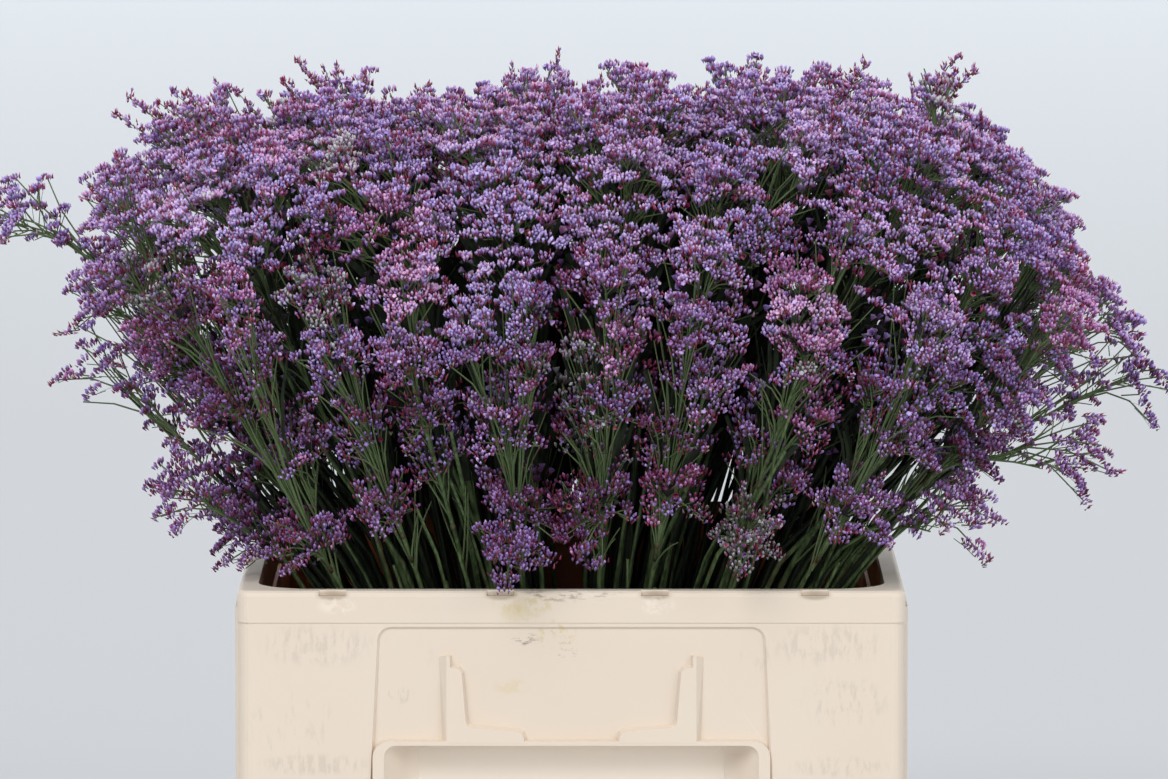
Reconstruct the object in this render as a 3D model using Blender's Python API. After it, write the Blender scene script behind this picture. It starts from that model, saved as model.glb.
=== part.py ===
"""Cut statice standing in a plastic flower container.

Metres, +Z up. The origin is the middle of the container's underside, and -Y is the front.
Every spray is one stem with all its side branches and flower heads, fused in one solid.
"""

import math
import random

import bmesh
import bpy
import numpy as np
from mathutils import Vector

# Collar: the cream outer container, with a sunk panel, a bracket and a hand niche at front and back.
COLLAR_HALF = (0.295, 0.195)
COLLAR_CORNER = 0.020
COLLAR_WALL = 0.005
COLLAR_FLOOR = 0.006
RIM_HEIGHT = 0.360
RIM_FLANGE = 0.017
RIM_THICK = 0.007
RIM_ROUND = 0.003
MOUTH_CORNER = 0.050
PANEL_HALF = 0.173
PANEL_LOW = 0.060
PANEL_TOP = 0.329
PANEL_SUNK = 0.002
PANEL_CORNER = 0.014
NICHE_HALF = 0.170
NICHE_BACK_HALF = 0.134
NICHE_LOW = 0.095
NICHE_TOP = 0.222
NICHE_DEEP = 0.034
NICHE_CORNER = 0.012
BRACKET_HALF = 0.111
BRACKET_INNER_HALF = 0.092
BRACKET_TOP = 0.303
BRACKET_LOW = 0.232
BRACKET_FOOT_IN = 0.043
BRACKET_FOOT_TALL = 0.009
BRACKET_PROUD = 0.004
NOTCH_SPOTS = (-0.209, -0.062, 0.073, 0.213)
NOTCH_SIZE = (0.022, 0.008, 0.004)

# Tub: the terracotta inner container that the stems stand in. Its back wall rises over the rim.
TUB_TOP_HALF = (0.270, 0.168)
TUB_FOOT_HALF = (0.236, 0.128)
TUB_CORNER = 0.044
TUB_WALL = 0.003
TUB_TOP = 0.348
TUB_BACK_TOP = 0.400
TUB_BACK_HALF = 0.222
CLEAR = 0.0003

# Stems: a grid of places at the rim, with the feet drawn together on the tub floor.
COLUMNS = 10
ROWS = 6
RIM_SPREAD_X = 0.246
RIM_SPREAD_FRONT = 0.150
RIM_SPREAD_BACK = 0.124
FOOT_SHARE_X = 0.24
FOOT_SHARE_Y = 0.20
COLUMN_JITTER = 0.06
ROW_JITTER = 0.09
LEAN_X = math.radians(46)
LEAN_Y = math.radians(34)
CORNER_PULL = 0.30
REACHES = (0.10, 0.21, 0.34, 0.50, 0.66)
WANDER = 0.025
STEM_FOOT_RADIUS = 0.0032
STEM_TIP_RADIUS = 0.0019
STEM_SIDES = 3
STEM_TWIST = 0.3
TWIG_RADIUS = 0.0012

# Crown: the outer form that the flower heads fill.
CROWN_HALF = (0.444, 0.296)
CROWN_SHIFT_X = 0.022
CROWN_LOW = 0.452
CROWN_LOW_BACK = 0.458
CROWN_WAIST = 0.600
CROWN_TAPER = 0.27
CROWN_SHOULDER = 0.540
CROWN_TOP = 0.786
CROWN_POWER = 3.6
CROWN_SKIN = (0.90, 1.0)
STEM_TIP_DEPTH = 0.95

# Flower heads: a small core with ten spikelets, five up and five out, larger than life.
HEAD_REACH = 0.056
HEAD_WAIST = 0.42
HEAD_CREST = 0.30
HEAD_NECK = 0.40
HEAD_SIDES = 5
HEAD_SPACING = 0.0615
CLOSE_SHARE = 0.88
CELL_GAP = 0.0014
TWIG_GAP = 0.0030
CORE_ROOM = 0.0110
TWIG_BELOW_TIP = 0.030
TWIG_SUNK = 0.004
TWIG_SHARES = (0.35, 0.6, 0.85, 1.1, 1.35)
TWIG_ABOVE_RIM = 0.030
TWIG_HEAD_GAP = 0.016
SPIKE_TWIG_GAP = 0.004
RIM_GAP = 0.006
SPIKE_LEAST = 0.20
WAIST_LEAST = 0.18
SPIKE_UP = math.radians(56)
SPIKE_OUT = math.radians(6)
SPIKE_TURN = 0.22
SPIKE_NOD = 0.14
SPIKE_SHORT = 0.84
FIT_STEP = 0.04
HEAD_WAY_SHARES = (0.5, 0.5, 0.5, 0.35)
TRIES = 20000
WIDE_TRIES = 12000
SEED = 8

# Heads that stand apart from the crown, as in the photograph: both sides, the top and low at the front.
STRAYS = (
    (-0.492, -0.060, 0.690),
    (-0.425, -0.100, 0.605),
    (-0.402, -0.090, 0.545),
    (0.322, -0.040, 0.800),
    (0.472, -0.080, 0.592),
    (0.505, -0.020, 0.520),
    (0.432, -0.130, 0.470),
    (0.432, -0.060, 0.680),
    (-0.330, -0.150, 0.440),
    (0.330, -0.160, 0.420),
    (-0.052, -0.212, 0.402),
    (-0.010, -0.216, 0.440),
    (0.150, -0.205, 0.410),
)

STEM_GREEN = (0.060, 0.110, 0.050)
FLOWER_LILAC = (0.270, 0.150, 0.430)
CREAM = (0.790, 0.700, 0.590)
TERRACOTTA = (0.340, 0.090, 0.035)


def clear_scene():
    """Take away the objects that the file starts with."""
    for item in list(bpy.data.objects):
        bpy.data.objects.remove(item, do_unlink=True)


def new_collection(name):
    """A collection in the scene."""
    made = bpy.data.collections.new(name)
    bpy.context.scene.collection.children.link(made)
    return made


def new_material(name, colour, roughness):
    """A plain dielectric material."""
    made = bpy.data.materials.new(name)
    made.use_nodes = True
    shader = made.node_tree.nodes["Principled BSDF"]
    shader.inputs["Base Color"].default_value = (*colour, 1)
    shader.inputs["Roughness"].default_value = roughness
    shader.inputs["Metallic"].default_value = 0
    return made


def new_object(name, bm, collection, *materials):
    """An object made from a bmesh, in a collection."""
    mesh = bpy.data.meshes.new(name)
    bm.to_mesh(mesh)
    bm.free()
    for material in materials:
        mesh.materials.append(material)
    item = bpy.data.objects.new(name, mesh)
    collection.objects.link(item)
    return item


def rounded_block(half, corner, low, high, top_round=0.0, foot_half=None):
    """A bmesh block with rounded upright edges, and if asked a rounded top and a narrower foot."""
    bm = bmesh.new()
    bmesh.ops.create_cube(bm, size=2)
    bmesh.ops.scale(bm, vec=(half[0], half[1], (high - low) / 2), verts=bm.verts)
    bmesh.ops.translate(bm, vec=(0, 0, (low + high) / 2), verts=bm.verts)
    upright = [e for e in bm.edges if abs(e.verts[0].co.z - e.verts[1].co.z) > (high - low) / 2]
    bmesh.ops.bevel(bm, geom=upright, offset=corner, segments=3, profile=0.5, affect="EDGES")
    if top_round:
        middle = (low + high) / 2
        top = [e for e in bm.edges if all(v.co.z > middle for v in e.verts)]
        bmesh.ops.bevel(bm, geom=top, offset=top_round, segments=2, profile=0.5, affect="EDGES")
    if foot_half:
        for vert in bm.verts:
            share = (high - vert.co.z) / (high - low)
            vert.co.x *= 1 + share * (foot_half[0] / half[0] - 1)
            vert.co.y *= 1 + share * (foot_half[1] / half[1] - 1)
    return bm


def block(size, centre):
    """A plain bmesh block."""
    bm = bmesh.new()
    bmesh.ops.create_cube(bm, size=1)
    bmesh.ops.scale(bm, vec=size, verts=bm.verts)
    bmesh.ops.translate(bm, vec=centre, verts=bm.verts)
    return bm


def upright_plate(half_x, low, high, corner, near, far, far_half=None):
    """A bmesh plate that faces the front, round at its corners, from y = near back to y = far."""
    bm = bmesh.new()
    bmesh.ops.create_cube(bm, size=2)
    bmesh.ops.scale(bm, vec=(half_x, (far - near) / 2, (high - low) / 2), verts=bm.verts)
    bmesh.ops.translate(bm, vec=(0, (near + far) / 2, (low + high) / 2), verts=bm.verts)
    across = [e for e in bm.edges if abs(e.verts[0].co.y - e.verts[1].co.y) > (far - near) / 2]
    bmesh.ops.bevel(bm, geom=across, offset=corner, segments=2, profile=0.5, affect="EDGES")
    if far_half:
        for vert in bm.verts:
            if vert.co.y > (near + far) / 2:
                vert.co.x *= far_half / half_x
    return bm


def front_and_back(bm):
    """The same bmesh with its copy turned half round the upright axis."""
    copy = bmesh.ops.duplicate(bm, geom=bm.verts[:] + bm.edges[:] + bm.faces[:])["geom"]
    for vert in (v for v in copy if isinstance(v, bmesh.types.BMVert)):
        vert.co.x, vert.co.y = -vert.co.x, -vert.co.y
    return bm


def add_boolean(item, cutter, operation):
    """Join or cut an object with a hidden one."""
    cutter.hide_render = True
    cutter.display_type = "WIRE"
    modifier = item.modifiers.new(cutter.name, "BOOLEAN")
    modifier.operation = operation
    modifier.solver = "EXACT"
    modifier.object = cutter


def make_collar(parts, cutters, material):
    """The cream container: a shell with a flanged rim, sunk panels, brackets, niches and notches."""
    half_x, half_y = COLLAR_HALF
    front = -half_y
    body = rounded_block(COLLAR_HALF, COLLAR_CORNER, 0, RIM_HEIGHT, RIM_ROUND)
    collar = new_object("collar", body, parts, material)

    inner = (half_x - COLLAR_WALL, half_y - COLLAR_WALL)
    hollow = rounded_block(inner, COLLAR_CORNER - COLLAR_WALL, COLLAR_FLOOR, RIM_HEIGHT - RIM_THICK)
    add_boolean(collar, new_object("cut_hollow", hollow, cutters), "DIFFERENCE")
    mouth_half = (half_x - RIM_FLANGE, half_y - RIM_FLANGE)
    mouth = rounded_block(mouth_half, MOUTH_CORNER, RIM_HEIGHT - 3 * RIM_THICK, RIM_HEIGHT + RIM_THICK)
    add_boolean(collar, new_object("cut_mouth", mouth, cutters), "DIFFERENCE")

    pocket = upright_plate(
        NICHE_HALF + COLLAR_WALL, NICHE_LOW - COLLAR_WALL, NICHE_TOP + COLLAR_WALL, NICHE_CORNER,
        front + COLLAR_WALL / 2, front + NICHE_DEEP + COLLAR_WALL, NICHE_BACK_HALF + COLLAR_WALL,
    )
    add_boolean(collar, new_object("join_pocket", front_and_back(pocket), cutters), "UNION")

    panel = upright_plate(
        PANEL_HALF, PANEL_LOW, PANEL_TOP, PANEL_CORNER, front - COLLAR_WALL, front + PANEL_SUNK
    )
    add_boolean(collar, new_object("cut_panel", front_and_back(panel), cutters), "DIFFERENCE")
    niche = upright_plate(
        NICHE_HALF, NICHE_LOW, NICHE_TOP, NICHE_CORNER,
        front - COLLAR_WALL, front + NICHE_DEEP, NICHE_BACK_HALF,
    )
    add_boolean(collar, new_object("cut_niche", front_and_back(niche), cutters), "DIFFERENCE")

    face = front + PANEL_SUNK
    sunk_in = COLLAR_WALL / 2
    deep = BRACKET_PROUD + sunk_in
    middle_y = face + sunk_in - deep / 2
    upright = (BRACKET_HALF + BRACKET_INNER_HALF) / 2
    for side in (-1, 1):
        label = "left" if side < 0 else "right"
        tall = BRACKET_TOP - BRACKET_LOW
        post = block(
            (BRACKET_HALF - BRACKET_INNER_HALF, deep, tall),
            (side * upright, middle_y, BRACKET_LOW + tall / 2),
        )
        add_boolean(collar, new_object(f"join_post_{label}", front_and_back(post), cutters), "UNION")
        foot_out = BRACKET_INNER_HALF + sunk_in
        foot_z = BRACKET_LOW + BRACKET_FOOT_TALL / 2 + CLEAR
        foot = block(
            (foot_out - BRACKET_FOOT_IN, deep - CLEAR, BRACKET_FOOT_TALL),
            (side * (foot_out + BRACKET_FOOT_IN) / 2, middle_y, foot_z),
        )
        add_boolean(collar, new_object(f"join_foot_{label}", front_and_back(foot), cutters), "UNION")

    for number, spot in enumerate(NOTCH_SPOTS, 1):
        long, wide, deep = NOTCH_SIZE
        notch = block((long, 2 * wide, 2 * deep), (spot, front, RIM_HEIGHT))
        add_boolean(collar, new_object(f"cut_notch_{number}", front_and_back(notch), cutters), "DIFFERENCE")


def make_tub(parts, cutters, material):
    """The terracotta tub: a tapered cup that stands on the collar's floor, its back wall raised."""
    foot = COLLAR_FLOOR + CLEAR
    body = rounded_block(TUB_TOP_HALF, TUB_CORNER, foot, TUB_BACK_TOP, 0, TUB_FOOT_HALF)
    tub = new_object("tub", body, parts, material)
    inner_top = [half - TUB_WALL for half in TUB_TOP_HALF]
    inner_foot = [half - TUB_WALL for half in TUB_FOOT_HALF]
    hollow = rounded_block(
        inner_top, TUB_CORNER - TUB_WALL, foot + TUB_WALL, TUB_BACK_TOP + CLEAR, 0, inner_foot
    )
    add_boolean(tub, new_object("cut_tub_hollow", hollow, cutters), "DIFFERENCE")
    over = 0.1
    lip = block(
        (2, TUB_TOP_HALF[1] * 2 + over, over),
        (0, -TUB_CORNER / 2 - over / 2, TUB_TOP + over / 2),
    )
    add_boolean(tub, new_object("cut_tub_front", lip, cutters), "DIFFERENCE")
    for side in (-1, 1):
        label = "left" if side < 0 else "right"
        end = block((over, 2, over), (side * (TUB_BACK_HALF + over / 2), 0, TUB_TOP + CLEAR + over / 2))
        add_boolean(tub, new_object(f"cut_tub_{label}", end, cutters), "DIFFERENCE")


def ease(t):
    """0 below 0, 1 above 1, and an even S between."""
    t = min(1.0, max(0.0, t))
    return t * t * (3 - 2 * t)


def crown_depth(p):
    """1 on the crown's outer form and less inside it."""
    waist = 1 - CROWN_TAPER * ease((CROWN_WAIST - p[2]) / (CROWN_WAIST - CROWN_LOW))
    x = abs(p[0] - CROWN_SHIFT_X) / (CROWN_HALF[0] * waist)
    y = abs(p[1]) / (CROWN_HALF[1] * waist)
    z = max(0.0, p[2] - CROWN_SHOULDER) / (CROWN_TOP - CROWN_SHOULDER)
    return (x**CROWN_POWER + y**CROWN_POWER + z**CROWN_POWER) ** (1 / CROWN_POWER)


def crown_normal(p):
    """The direction in which the crown's depth grows fastest at p."""
    step = 0.004
    base = crown_depth(p)
    slopes = []
    for axis in range(3):
        moved = Vector(p)
        moved[axis] += step
        slopes.append(crown_depth(moved) - base)
    return Vector(slopes).normalized()


def stem_lines():
    """The line of each stem: points from its foot, through the rim, to beyond the crown."""
    rng = random.Random(SEED)
    foot_z = COLLAR_FLOOR + TUB_WALL + 2 * CLEAR
    lines = []
    for row in range(ROWS):
        for column in range(COLUMNS):
            u = 2 * column / (COLUMNS - 1) - 1 + rng.uniform(-COLUMN_JITTER, COLUMN_JITTER)
            v = 2 * row / (ROWS - 1) - 1 + rng.uniform(-ROW_JITTER, ROW_JITTER)
            wander = Vector((rng.uniform(-WANDER, WANDER), rng.uniform(-WANDER, WANDER), 0))
            if column in (0, COLUMNS - 1) and row in (0, ROWS - 1):
                continue
            u = max(-1.0, min(1.0, u))
            v = max(-1.0, min(1.0, v))
            rim_y = v * (RIM_SPREAD_FRONT if v < 0 else RIM_SPREAD_BACK)
            rim = Vector((u * RIM_SPREAD_X, rim_y, RIM_HEIGHT))
            foot = Vector((rim.x * FOOT_SHARE_X, rim.y * FOOT_SHARE_Y, foot_z))
            slope_x = math.tan(u * LEAN_X) * (1 - CORNER_PULL * v * v)
            slope_y = math.tan(v * LEAN_Y) * (1 - CORNER_PULL * u * u)
            way = Vector((slope_x, slope_y, 1)).normalized()
            line = [foot, rim]
            for reach in REACHES:
                line.append(rim + way * reach + wander * (reach / REACHES[3]) ** 2)
            lines.append(line)
    return lines


class Cells:
    """The room of each stem: every point belongs to the stem whose line is nearest to it."""

    def __init__(self, lines):
        starts, steps, owners = [], [], []
        for number, line in enumerate(lines):
            for a, b in zip(line, line[1:]):
                starts.append(a)
                steps.append(b - a)
                owners.append(number)
        self.starts = np.array(starts)
        self.steps = np.array(steps)
        self.squares = (self.steps**2).sum(axis=1)
        self.firsts = np.unique(np.array(owners), return_index=True)[1]

    def distances(self, p):
        """The distance from p to each stem's line."""
        to_p = np.array(p) - self.starts
        share = np.clip((to_p * self.steps).sum(axis=1) / self.squares, 0, 1)
        away = np.linalg.norm(to_p - self.steps * share[:, None], axis=1)
        return np.minimum.reduceat(away, self.firsts)

    def room(self, p, number):
        """How far p lies inside the room of this stem, measured to the room's wall."""
        away = self.distances(p)
        own = away[number]
        away[number] = 9.0
        return (away.min() - own) / 2


def nearest_along(line, p):
    """The length along the line at which it passes nearest to p."""
    best, best_along, along = 9.0, 0.0, 0.0
    for a, b in zip(line, line[1:]):
        step = b - a
        share = max(0.0, min(1.0, (p - a).dot(step) / step.length_squared))
        away = (p - a - step * share).length
        if away < best:
            best, best_along = away, along + share * step.length
        along += step.length
    return best_along


def point_along(line, along):
    """The point this far along the line, and the line's direction there."""
    for a, b in zip(line, line[1:]):
        length = (b - a).length
        if along <= length:
            break
        along -= length
    return a.lerp(b, min(1.0, max(0.0, along) / length)), (b - a).normalized()


def crown_point(rng):
    """A random point near the crown's outer form."""
    depth = rng.uniform(*CROWN_SKIN)
    while True:
        way = Vector((rng.gauss(0, 1.3), rng.gauss(0, 1), rng.gauss(0, 1))).normalized()
        heart = Vector((CROWN_SHIFT_X, 0, CROWN_SHOULDER))
        low, high = 0.0, 0.7
        for _ in range(18):
            middle = (low + high) / 2
            if crown_depth(heart + way * middle) < depth:
                low = middle
            else:
                high = middle
        p = heart + way * low
        if p.z > (CROWN_LOW_BACK if p.y > 0 else CROWN_LOW):
            return p


def spread_heads(lines, cells):
    """The centres of each stem's heads: its tip, the strays, then an even scatter over the crown."""
    rng = random.Random(SEED + 1)
    heads = [[] for _ in lines]
    placed = []
    for number, line in enumerate(lines):
        along = sum((b - a).length for a, b in zip(line, line[1:]))
        point = point_along(line, along)[0]
        while crown_depth(point) > STEM_TIP_DEPTH:
            along -= 0.002
            point = point_along(line, along)[0]
        heads[number].append(point)
        placed.append(point)
    for stray in STRAYS:
        point = Vector(stray)
        number = int(np.argmin(cells.distances(point)))
        if cells.room(point, number) < CORE_ROOM:
            point = point_along(lines[number], nearest_along(lines[number], point))[0].lerp(point, 0.8)
        heads[number].append(point)
        placed.append(point)
    for attempt in range(TRIES):
        point = crown_point(rng)
        spacing = HEAD_SPACING * (1.0 if attempt < WIDE_TRIES else CLOSE_SHARE)
        if any((point - other).length < spacing for other in placed):
            continue
        number = int(np.argmin(cells.distances(point)))
        if cells.room(point, number) < CORE_ROOM:
            continue
        heads[number].append(point)
        placed.append(point)
    return heads


def ring(centre, axis, radius, sides, start=0.0):
    """Points round an axis, all starting from the same side."""
    side = Vector((1, 0, 0)) if abs(axis.x) < 0.85 else Vector((0, 1, 0))
    u = (side - axis * side.dot(axis)).normalized()
    v = axis.cross(u)
    points = []
    for k in range(sides):
        angle = start + math.tau * k / sides
        points.append(centre + (u * math.cos(angle) + v * math.sin(angle)) * radius)
    return points


def tube(bm, rings):
    """A closed tube through rings of equal count."""
    loops = [[bm.verts.new(p) for p in points] for points in rings]
    sides = len(loops[0])
    for low, high in zip(loops, loops[1:]):
        for k in range(sides):
            n = (k + 1) % sides
            bm.faces.new((low[k], low[n], high[n], high[k]))
    bm.faces.new(list(reversed(loops[0])))
    bm.faces.new(loops[-1])


def make_stem(name, line, end, cutters, materials):
    """The main stem, three-sided and tapered, from its foot to this length along its line."""
    lengths = [0.0]
    for a, b in zip(line, line[1:]):
        lengths.append(lengths[-1] + (b - a).length)
    stops = [along for along in lengths if along < end] + [end]
    rings = []
    for along in stops:
        centre, axis = point_along(line, along)
        if along == 0:
            axis = Vector((0, 0, 1))
        share = along / end
        radius = STEM_FOOT_RADIUS + (STEM_TIP_RADIUS - STEM_FOOT_RADIUS) * share
        rings.append(ring(centre, axis, radius, STEM_SIDES, STEM_TWIST))
    bm = bmesh.new()
    tube(bm, rings)
    bmesh.ops.recalc_face_normals(bm, faces=bm.faces)
    return new_object(name, bm, cutters, *materials)


def fitted(start, way, reach, least, fits):
    """The point that far along a direction, drawn in until it lies in its own room."""
    share = 1.0
    while share > least and not fits(start + way * reach * share):
        share -= FIT_STEP
    return start + way * reach * share


def make_head(name, root, centre, way, fits, rng, cutters, materials):
    """One flower head on its twig: a small core with a ring of spikelets up and a ring out."""
    base = centre - way * HEAD_REACH * HEAD_NECK
    twig_way = (base - root).normalized()
    bm = bmesh.new()
    low = [bm.verts.new(p) for p in ring(root, twig_way, TWIG_RADIUS, 3)]
    neck = [bm.verts.new(p) for p in ring(base, way, TWIG_RADIUS, 3)]
    waist = []
    for point in ring(centre, way, HEAD_REACH, HEAD_SIDES):
        out = (point - centre) * HEAD_WAIST
        waist.append(bm.verts.new(fitted(centre, out, 1.0, WAIST_LEAST / HEAD_WAIST, fits)))
    crest = bm.verts.new(centre + way * HEAD_REACH * HEAD_CREST)
    bm.faces.new(list(reversed(low)))
    for k in range(3):
        n = (k + 1) % 3
        bm.faces.new((low[k], low[n], neck[n], neck[k]))
    side = Vector((1, 0, 0)) if abs(way.x) < 0.85 else Vector((0, 1, 0))
    u = (side - way * side.dot(way)).normalized()
    v = way.cross(u)
    steps = sorted([(k / 3, 0, k) for k in range(3)] + [(k / HEAD_SIDES, 1, k) for k in range(HEAD_SIDES)])
    at_neck, at_waist = 0, 0
    for _, upper, k in steps[2:] + [(1, 1, HEAD_SIDES), (1, 0, 3)]:
        if upper:
            a, b, c = neck[at_neck % 3], waist[at_waist % HEAD_SIDES], waist[k % HEAD_SIDES]
            angle = math.tau * (k - 0.5) / HEAD_SIDES
            for corner, lift in ((a, SPIKE_OUT), (crest, SPIKE_UP)):
                turn = angle + rng.uniform(-SPIKE_TURN, SPIKE_TURN)
                rise = lift + rng.uniform(-SPIKE_NOD, SPIKE_NOD)
                level = u * math.cos(turn) + v * math.sin(turn)
                spike_way = level * math.cos(rise) + way * math.sin(rise)
                reach = HEAD_REACH * rng.uniform(SPIKE_SHORT, 1.0)
                tip = bm.verts.new(fitted(centre, spike_way, reach, SPIKE_LEAST, fits))
                bm.faces.new((b, c, tip))
                bm.faces.new((c, corner, tip))
                bm.faces.new((corner, b, tip))
            at_waist = k
        else:
            bm.faces.new((neck[at_neck % 3], neck[k % 3], waist[at_waist % HEAD_SIDES]))
            at_neck = k
    for face in bm.faces:
        face.material_index = 1 if any(v in waist for v in face.verts) else 0
    bmesh.ops.recalc_face_normals(bm, faces=bm.faces)
    return new_object(name, bm, cutters, *materials)


def away_from(p, a, b):
    """The distance from p to the straight line between a and b."""
    step = b - a
    share = max(0.0, min(1.0, (p - a).dot(step) / step.length_squared))
    return (p - a - step * share).length


def twig_root(line, end, centre, others, number, cells):
    """Where the twig of a head leaves its stem: low down, in the stem's room, clear of other heads."""
    near = min(nearest_along(line, centre), end)
    away = max((point_along(line, near)[0] - centre).length, HEAD_REACH)
    lowest = min((line[1] - line[0]).length + TWIG_ABOVE_RIM, near)
    found = max(lowest, near - away * TWIG_SHARES[0])
    for share in TWIG_SHARES:
        along = max(lowest, near - share * away)
        root = point_along(line, along)[0]
        if any(away_from(other, root, centre) < TWIG_HEAD_GAP for other in others):
            continue
        if all(cells.room(root.lerp(centre, k / 8), number) > TWIG_GAP for k in range(1, 8)):
            found = along
    return found


def keep_largest(mesh):
    """Drop the loose scraps and sealed hollows that fusing can leave."""
    bm = bmesh.new()
    bm.from_mesh(mesh)
    left = set(bm.verts)
    bodies = []
    while left:
        body = {left.pop()}
        edge = list(body)
        while edge:
            vert = edge.pop()
            near = {e.other_vert(vert) for e in vert.link_edges} - body
            body |= near
            edge.extend(near)
        left -= body
        bodies.append(body)
    bodies.sort(key=len)
    scraps = [vert for body in bodies[:-1] for vert in body]
    bmesh.ops.delete(bm, geom=scraps, context="VERTS")
    bm.to_mesh(mesh)
    bm.free()


def make_spray(number, line, centres, cells, parts, cutters, materials):
    """One spray: its stem and all its heads, fused."""
    name = f"spray_{number + 1:02d}"
    rng = random.Random(SEED * 1000 + number)
    end = nearest_along(line, centres[0]) - TWIG_BELOW_TIP
    stem = make_stem(name, line, end, parts, materials)
    others = {k: [other for other in centres if other is not centre] for k, centre in enumerate(centres)}
    alongs = [end - TWIG_SUNK]
    for k, centre in enumerate(centres[1:], 1):
        alongs.append(twig_root(line, end - TWIG_SUNK, centre, others[k], number, cells))
    roots = [point_along(line, along)[0] for along in alongs]
    twigs = new_collection(f"twigs_{number + 1:02d}")
    for k, centre in enumerate(centres):
        stem_way = point_along(line, alongs[k])[1]
        ways = (stem_way, (centre - roots[k]).normalized(), crown_normal(centre), Vector((0, 0, 1)))
        way = sum((w * share for w, share in zip(ways, HEAD_WAY_SHARES)), Vector()).normalized()
        bars = [(roots[j], centres[j]) for j in range(len(centres)) if j != k]
        bars += list(zip(line[1:], line[2:])) if k else []

        def fits(tip):
            lowest = TUB_BACK_TOP if tip.y > 0 else RIM_HEIGHT
            if tip.z < lowest + RIM_GAP or cells.room(tip, number) < CELL_GAP:
                return False
            own = (tip - centre).length
            if any((tip - other).length < own + CELL_GAP for other in others[k]):
                return False
            points = (tip, centre.lerp(tip, 0.6))
            return all(away_from(p, a, b) > SPIKE_TWIG_GAP for p in points for a, b in bars)

        make_head(f"{name}_head_{k}", roots[k], centre, way, fits, rng, twigs, materials)
    join = stem.modifiers.new("join_heads", "BOOLEAN")
    join.operation = "UNION"
    join.solver = "MANIFOLD"
    join.operand_type = "COLLECTION"
    join.collection = twigs
    bpy.context.view_layer.update()
    fused = bpy.data.meshes.new_from_object(stem.evaluated_get(bpy.context.evaluated_depsgraph_get()))
    stem.modifiers.remove(join)
    keep_largest(fused)
    stem.data = fused
    for item in list(twigs.objects):
        bpy.data.objects.remove(item, do_unlink=True)
    bpy.data.collections.remove(twigs)


def build():
    """Make the whole stand of flowers."""
    clear_scene()
    parts = new_collection("statice_stand")
    cutters = new_collection("cutters")
    make_collar(parts, cutters, new_material("cream_plastic", CREAM, 0.45))
    make_tub(parts, cutters, new_material("terracotta_plastic", TERRACOTTA, 0.5))
    materials = (
        new_material("stem_green", STEM_GREEN, 0.6),
        new_material("flower_lilac", FLOWER_LILAC, 0.7),
    )
    lines = stem_lines()
    cells = Cells(lines)
    heads = spread_heads(lines, cells)
    for number, line in enumerate(lines):
        make_spray(number, line, heads[number], cells, parts, cutters, materials)


build()
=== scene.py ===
"""Cut statice in a cream plastic container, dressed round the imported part.

Metres, +Z up, -Y is the front. The script runs from top to bottom, one section for each piece.
"""

import math
import random
from collections import namedtuple

import bmesh
import bpy
import numpy as np
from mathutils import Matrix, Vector


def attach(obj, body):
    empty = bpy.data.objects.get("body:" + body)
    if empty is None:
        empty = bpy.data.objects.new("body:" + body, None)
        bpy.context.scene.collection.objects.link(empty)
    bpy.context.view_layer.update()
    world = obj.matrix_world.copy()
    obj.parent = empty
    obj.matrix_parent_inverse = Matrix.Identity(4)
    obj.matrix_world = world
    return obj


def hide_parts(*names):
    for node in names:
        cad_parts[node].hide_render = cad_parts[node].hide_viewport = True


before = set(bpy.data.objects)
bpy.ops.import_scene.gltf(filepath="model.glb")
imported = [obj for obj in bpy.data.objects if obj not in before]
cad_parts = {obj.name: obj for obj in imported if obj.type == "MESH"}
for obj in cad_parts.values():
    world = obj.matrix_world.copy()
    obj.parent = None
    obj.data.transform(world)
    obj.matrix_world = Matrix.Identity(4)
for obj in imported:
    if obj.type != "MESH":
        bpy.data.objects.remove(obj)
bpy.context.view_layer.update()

# Container: a cream plastic moulding with a flat rim, and on each long side a sunk panel with a card
# holder and a hand niche. Cut and joined from rounded blocks, and then every edge is broken.
CONTAINER_HALF = (0.2925, 0.195)
CONTAINER_CORNER = 0.012
CONTAINER_WALL = 0.012
CONTAINER_FLOOR = 0.006
RIM_HEIGHT = 0.360
RIM_FLANGE = 0.017
RIM_ROUND = 0.0050
RIM_THICK = 0.007
MOUTH_CORNER = 0.050
BAND_LOW = 0.332
BAND_PROUD = 0.0008
SIDE_PANEL_TOP = 0.343
SIDE_PANEL_HALF = 0.168
SIDE_PANEL_PROUD = 0.0025
SIDE_PANEL_LOW = 0.012
SIDE_PANEL_CORNER = 0.004
INNER_CORNER = 0.008
OVERLAP = 0.001
EDGE_BREAK = 0.0013
EDGE_LEAST = math.radians(35)
PANEL_OUTLINE = ((0.1700, 0.3293), (0.1830, 0.0600))
PANEL_CORNER = 0.013
PANEL_DEPTHS = (0.0028, 0.0095)
PANEL_DRAFT = 0.0060
PANEL_MIDDLE = 0.2
SKIN_GAP = 0.0001
HOLDER_FACE = 0.0030
HOLDER_ROOT = 0.7
HOLDER_FRONT = (
    (-0.1093, 0.2262), (-0.1093, 0.3028), (-0.1063, 0.3028), (-0.1063, 0.2926), (-0.0990, 0.2920),
    (-0.0960, 0.2880), (-0.0925, 0.2446), (-0.0912, 0.2416), (-0.0881, 0.2402), (-0.0480, 0.2366),
    (-0.0436, 0.2344), (-0.0416, 0.2302), (-0.0416, 0.2262),
)
HOLDER_BACK = (
    (-0.1143, 0.2262), (-0.1200, 0.3010), (-0.1042, 0.3035), (-0.1030, 0.2958), (-0.0957, 0.2948),
    (-0.0926, 0.2900), (-0.0888, 0.2472), (-0.0880, 0.2446), (-0.0858, 0.2430), (-0.0458, 0.2394),
    (-0.0404, 0.2370), (-0.0380, 0.2310), (-0.0380, 0.2262),
)
NICHE_HALF = 0.1701
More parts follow.
